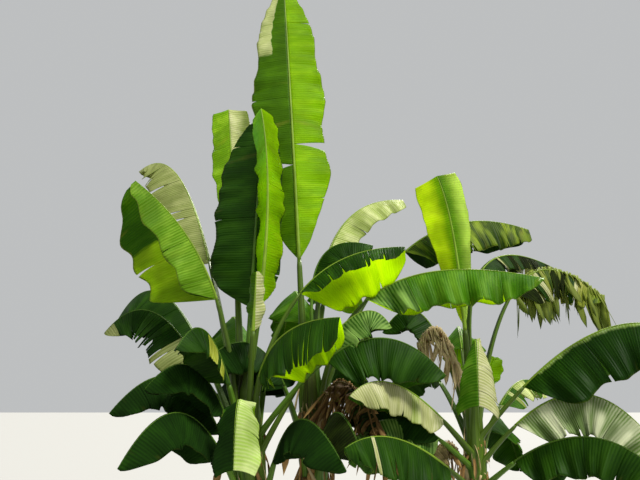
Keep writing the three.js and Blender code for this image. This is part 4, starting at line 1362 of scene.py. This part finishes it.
class Plant:
    """The whole clump."""

    def __init__(self) -> None:
        """Starts with no piece built."""
        self.pieces: List[bpy.types.Object] = []

    def keep(self, piece: bpy.types.Object, node: str) -> None:
        """Puts a piece in a node's place.

        Args:
            piece: The piece.
            node: The node that it stands for.
        """
        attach(piece, BODY)
        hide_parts(node)
        self.pieces.append(piece)
        log.info("%s: %d faces", piece.name, len(piece.data.polygons))

    def build(self) -> None:
        """Builds the stems and then the leaves."""
        sweep, fringes = RibSweep(), FringeMaker()
        for stem in (MAIN, LEFT_STEM, RIGHT_STEM):
            self.keep(StemShell(stem, fringes).build(), f"stem_{stem.name}")
        for leaf in leaves():
            self.keep(LeafShell(leaf, sweep, fringes).build(), leaf.name)


class Lamp(NamedTuple):
    """A broad lamp: how strong it is, how far it leans from upright, and where it turns to."""

    name: str
    energy: float
    lean: float
    turn: float


@dataclass(frozen=True)
class Studio:
    """A pale floor, soft light and the camera."""

    eye: Tuple[float, float, float] = (-0.007, -2.700, 1.500)
    pitch: float = 18.4
    lens: float = 27.0
    floor_size: float = 120.0
    floor_colour: Colour = (0.32, 0.32, 0.31)
    room_colour: Colour = (0.93, 0.95, 0.96)
    room_strength: float = 0.55
    lamp_colour: Colour = (1.0, 0.97, 0.9)
    lamp_angle: float = 18.0
    lamps: Tuple[Lamp, ...] = (Lamp("lamp_front", 3.6, 42, 40), Lamp("lamp_back", 5.0, 40, 150))

    def floor(self) -> None:
        """Lays the floor."""
        half = self.floor_size / 2
        mesh = bpy.data.meshes.new("floor")
        corners = [(-half, -half, 0), (half, -half, 0), (half, half, 0), (-half, half, 0)]
        mesh.from_pydata(corners, [], [(0, 1, 2, 3)])
        material = bpy.data.materials.new("floor")
        material.use_nodes = True
        skin = material.node_tree.nodes["Principled BSDF"]
        skin.inputs["Base Color"].default_value = (*self.floor_colour, 1)
        skin.inputs["Roughness"].default_value = 0.9
        mesh.materials.append(material)
        floor = put("floor", mesh)

    def light(self) -> None:
        """Sets the soft light of the room and the broad lamps."""
        world = bpy.data.worlds.new("room")
        world.use_nodes = True
        room = world.node_tree.nodes["Background"]
        room.inputs["Color"].default_value = (*self.room_colour, 1)
        room.inputs["Strength"].default_value = self.room_strength
        bpy.context.scene.world = world
        for lamp in self.lamps:
            sun = bpy.data.lights.new(lamp.name, "SUN")
            sun.energy = lamp.energy
            sun.angle = math.radians(self.lamp_angle)
            sun.color = self.lamp_colour
            shown = put(lamp.name, sun)
            shown.rotation_euler = (math.radians(lamp.lean), 0, math.radians(lamp.turn))

    def camera(self) -> None:
        """Places the camera."""
        data = bpy.data.cameras.new("camera")
        data.lens = self.lens
        data.sensor_width = 36.0
        data.clip_end = 200.0
        camera = put("camera", data)
        camera.location = self.eye
        camera.rotation_euler = (math.radians(90 + self.pitch), 0, 0)
        bpy.context.scene.camera = camera

    def build(self) -> None:
        """Builds the studio."""
        self.floor()
        self.light()
        self.camera()
        bpy.context.scene.view_settings.view_transform = "Standard"


def main() -> None:
    """Builds the plant and the studio."""
    logging.basicConfig(level=logging.INFO, format="%(message)s")
    Plant().build()
    Studio().build()


if __name__ == "__main__":
    main()
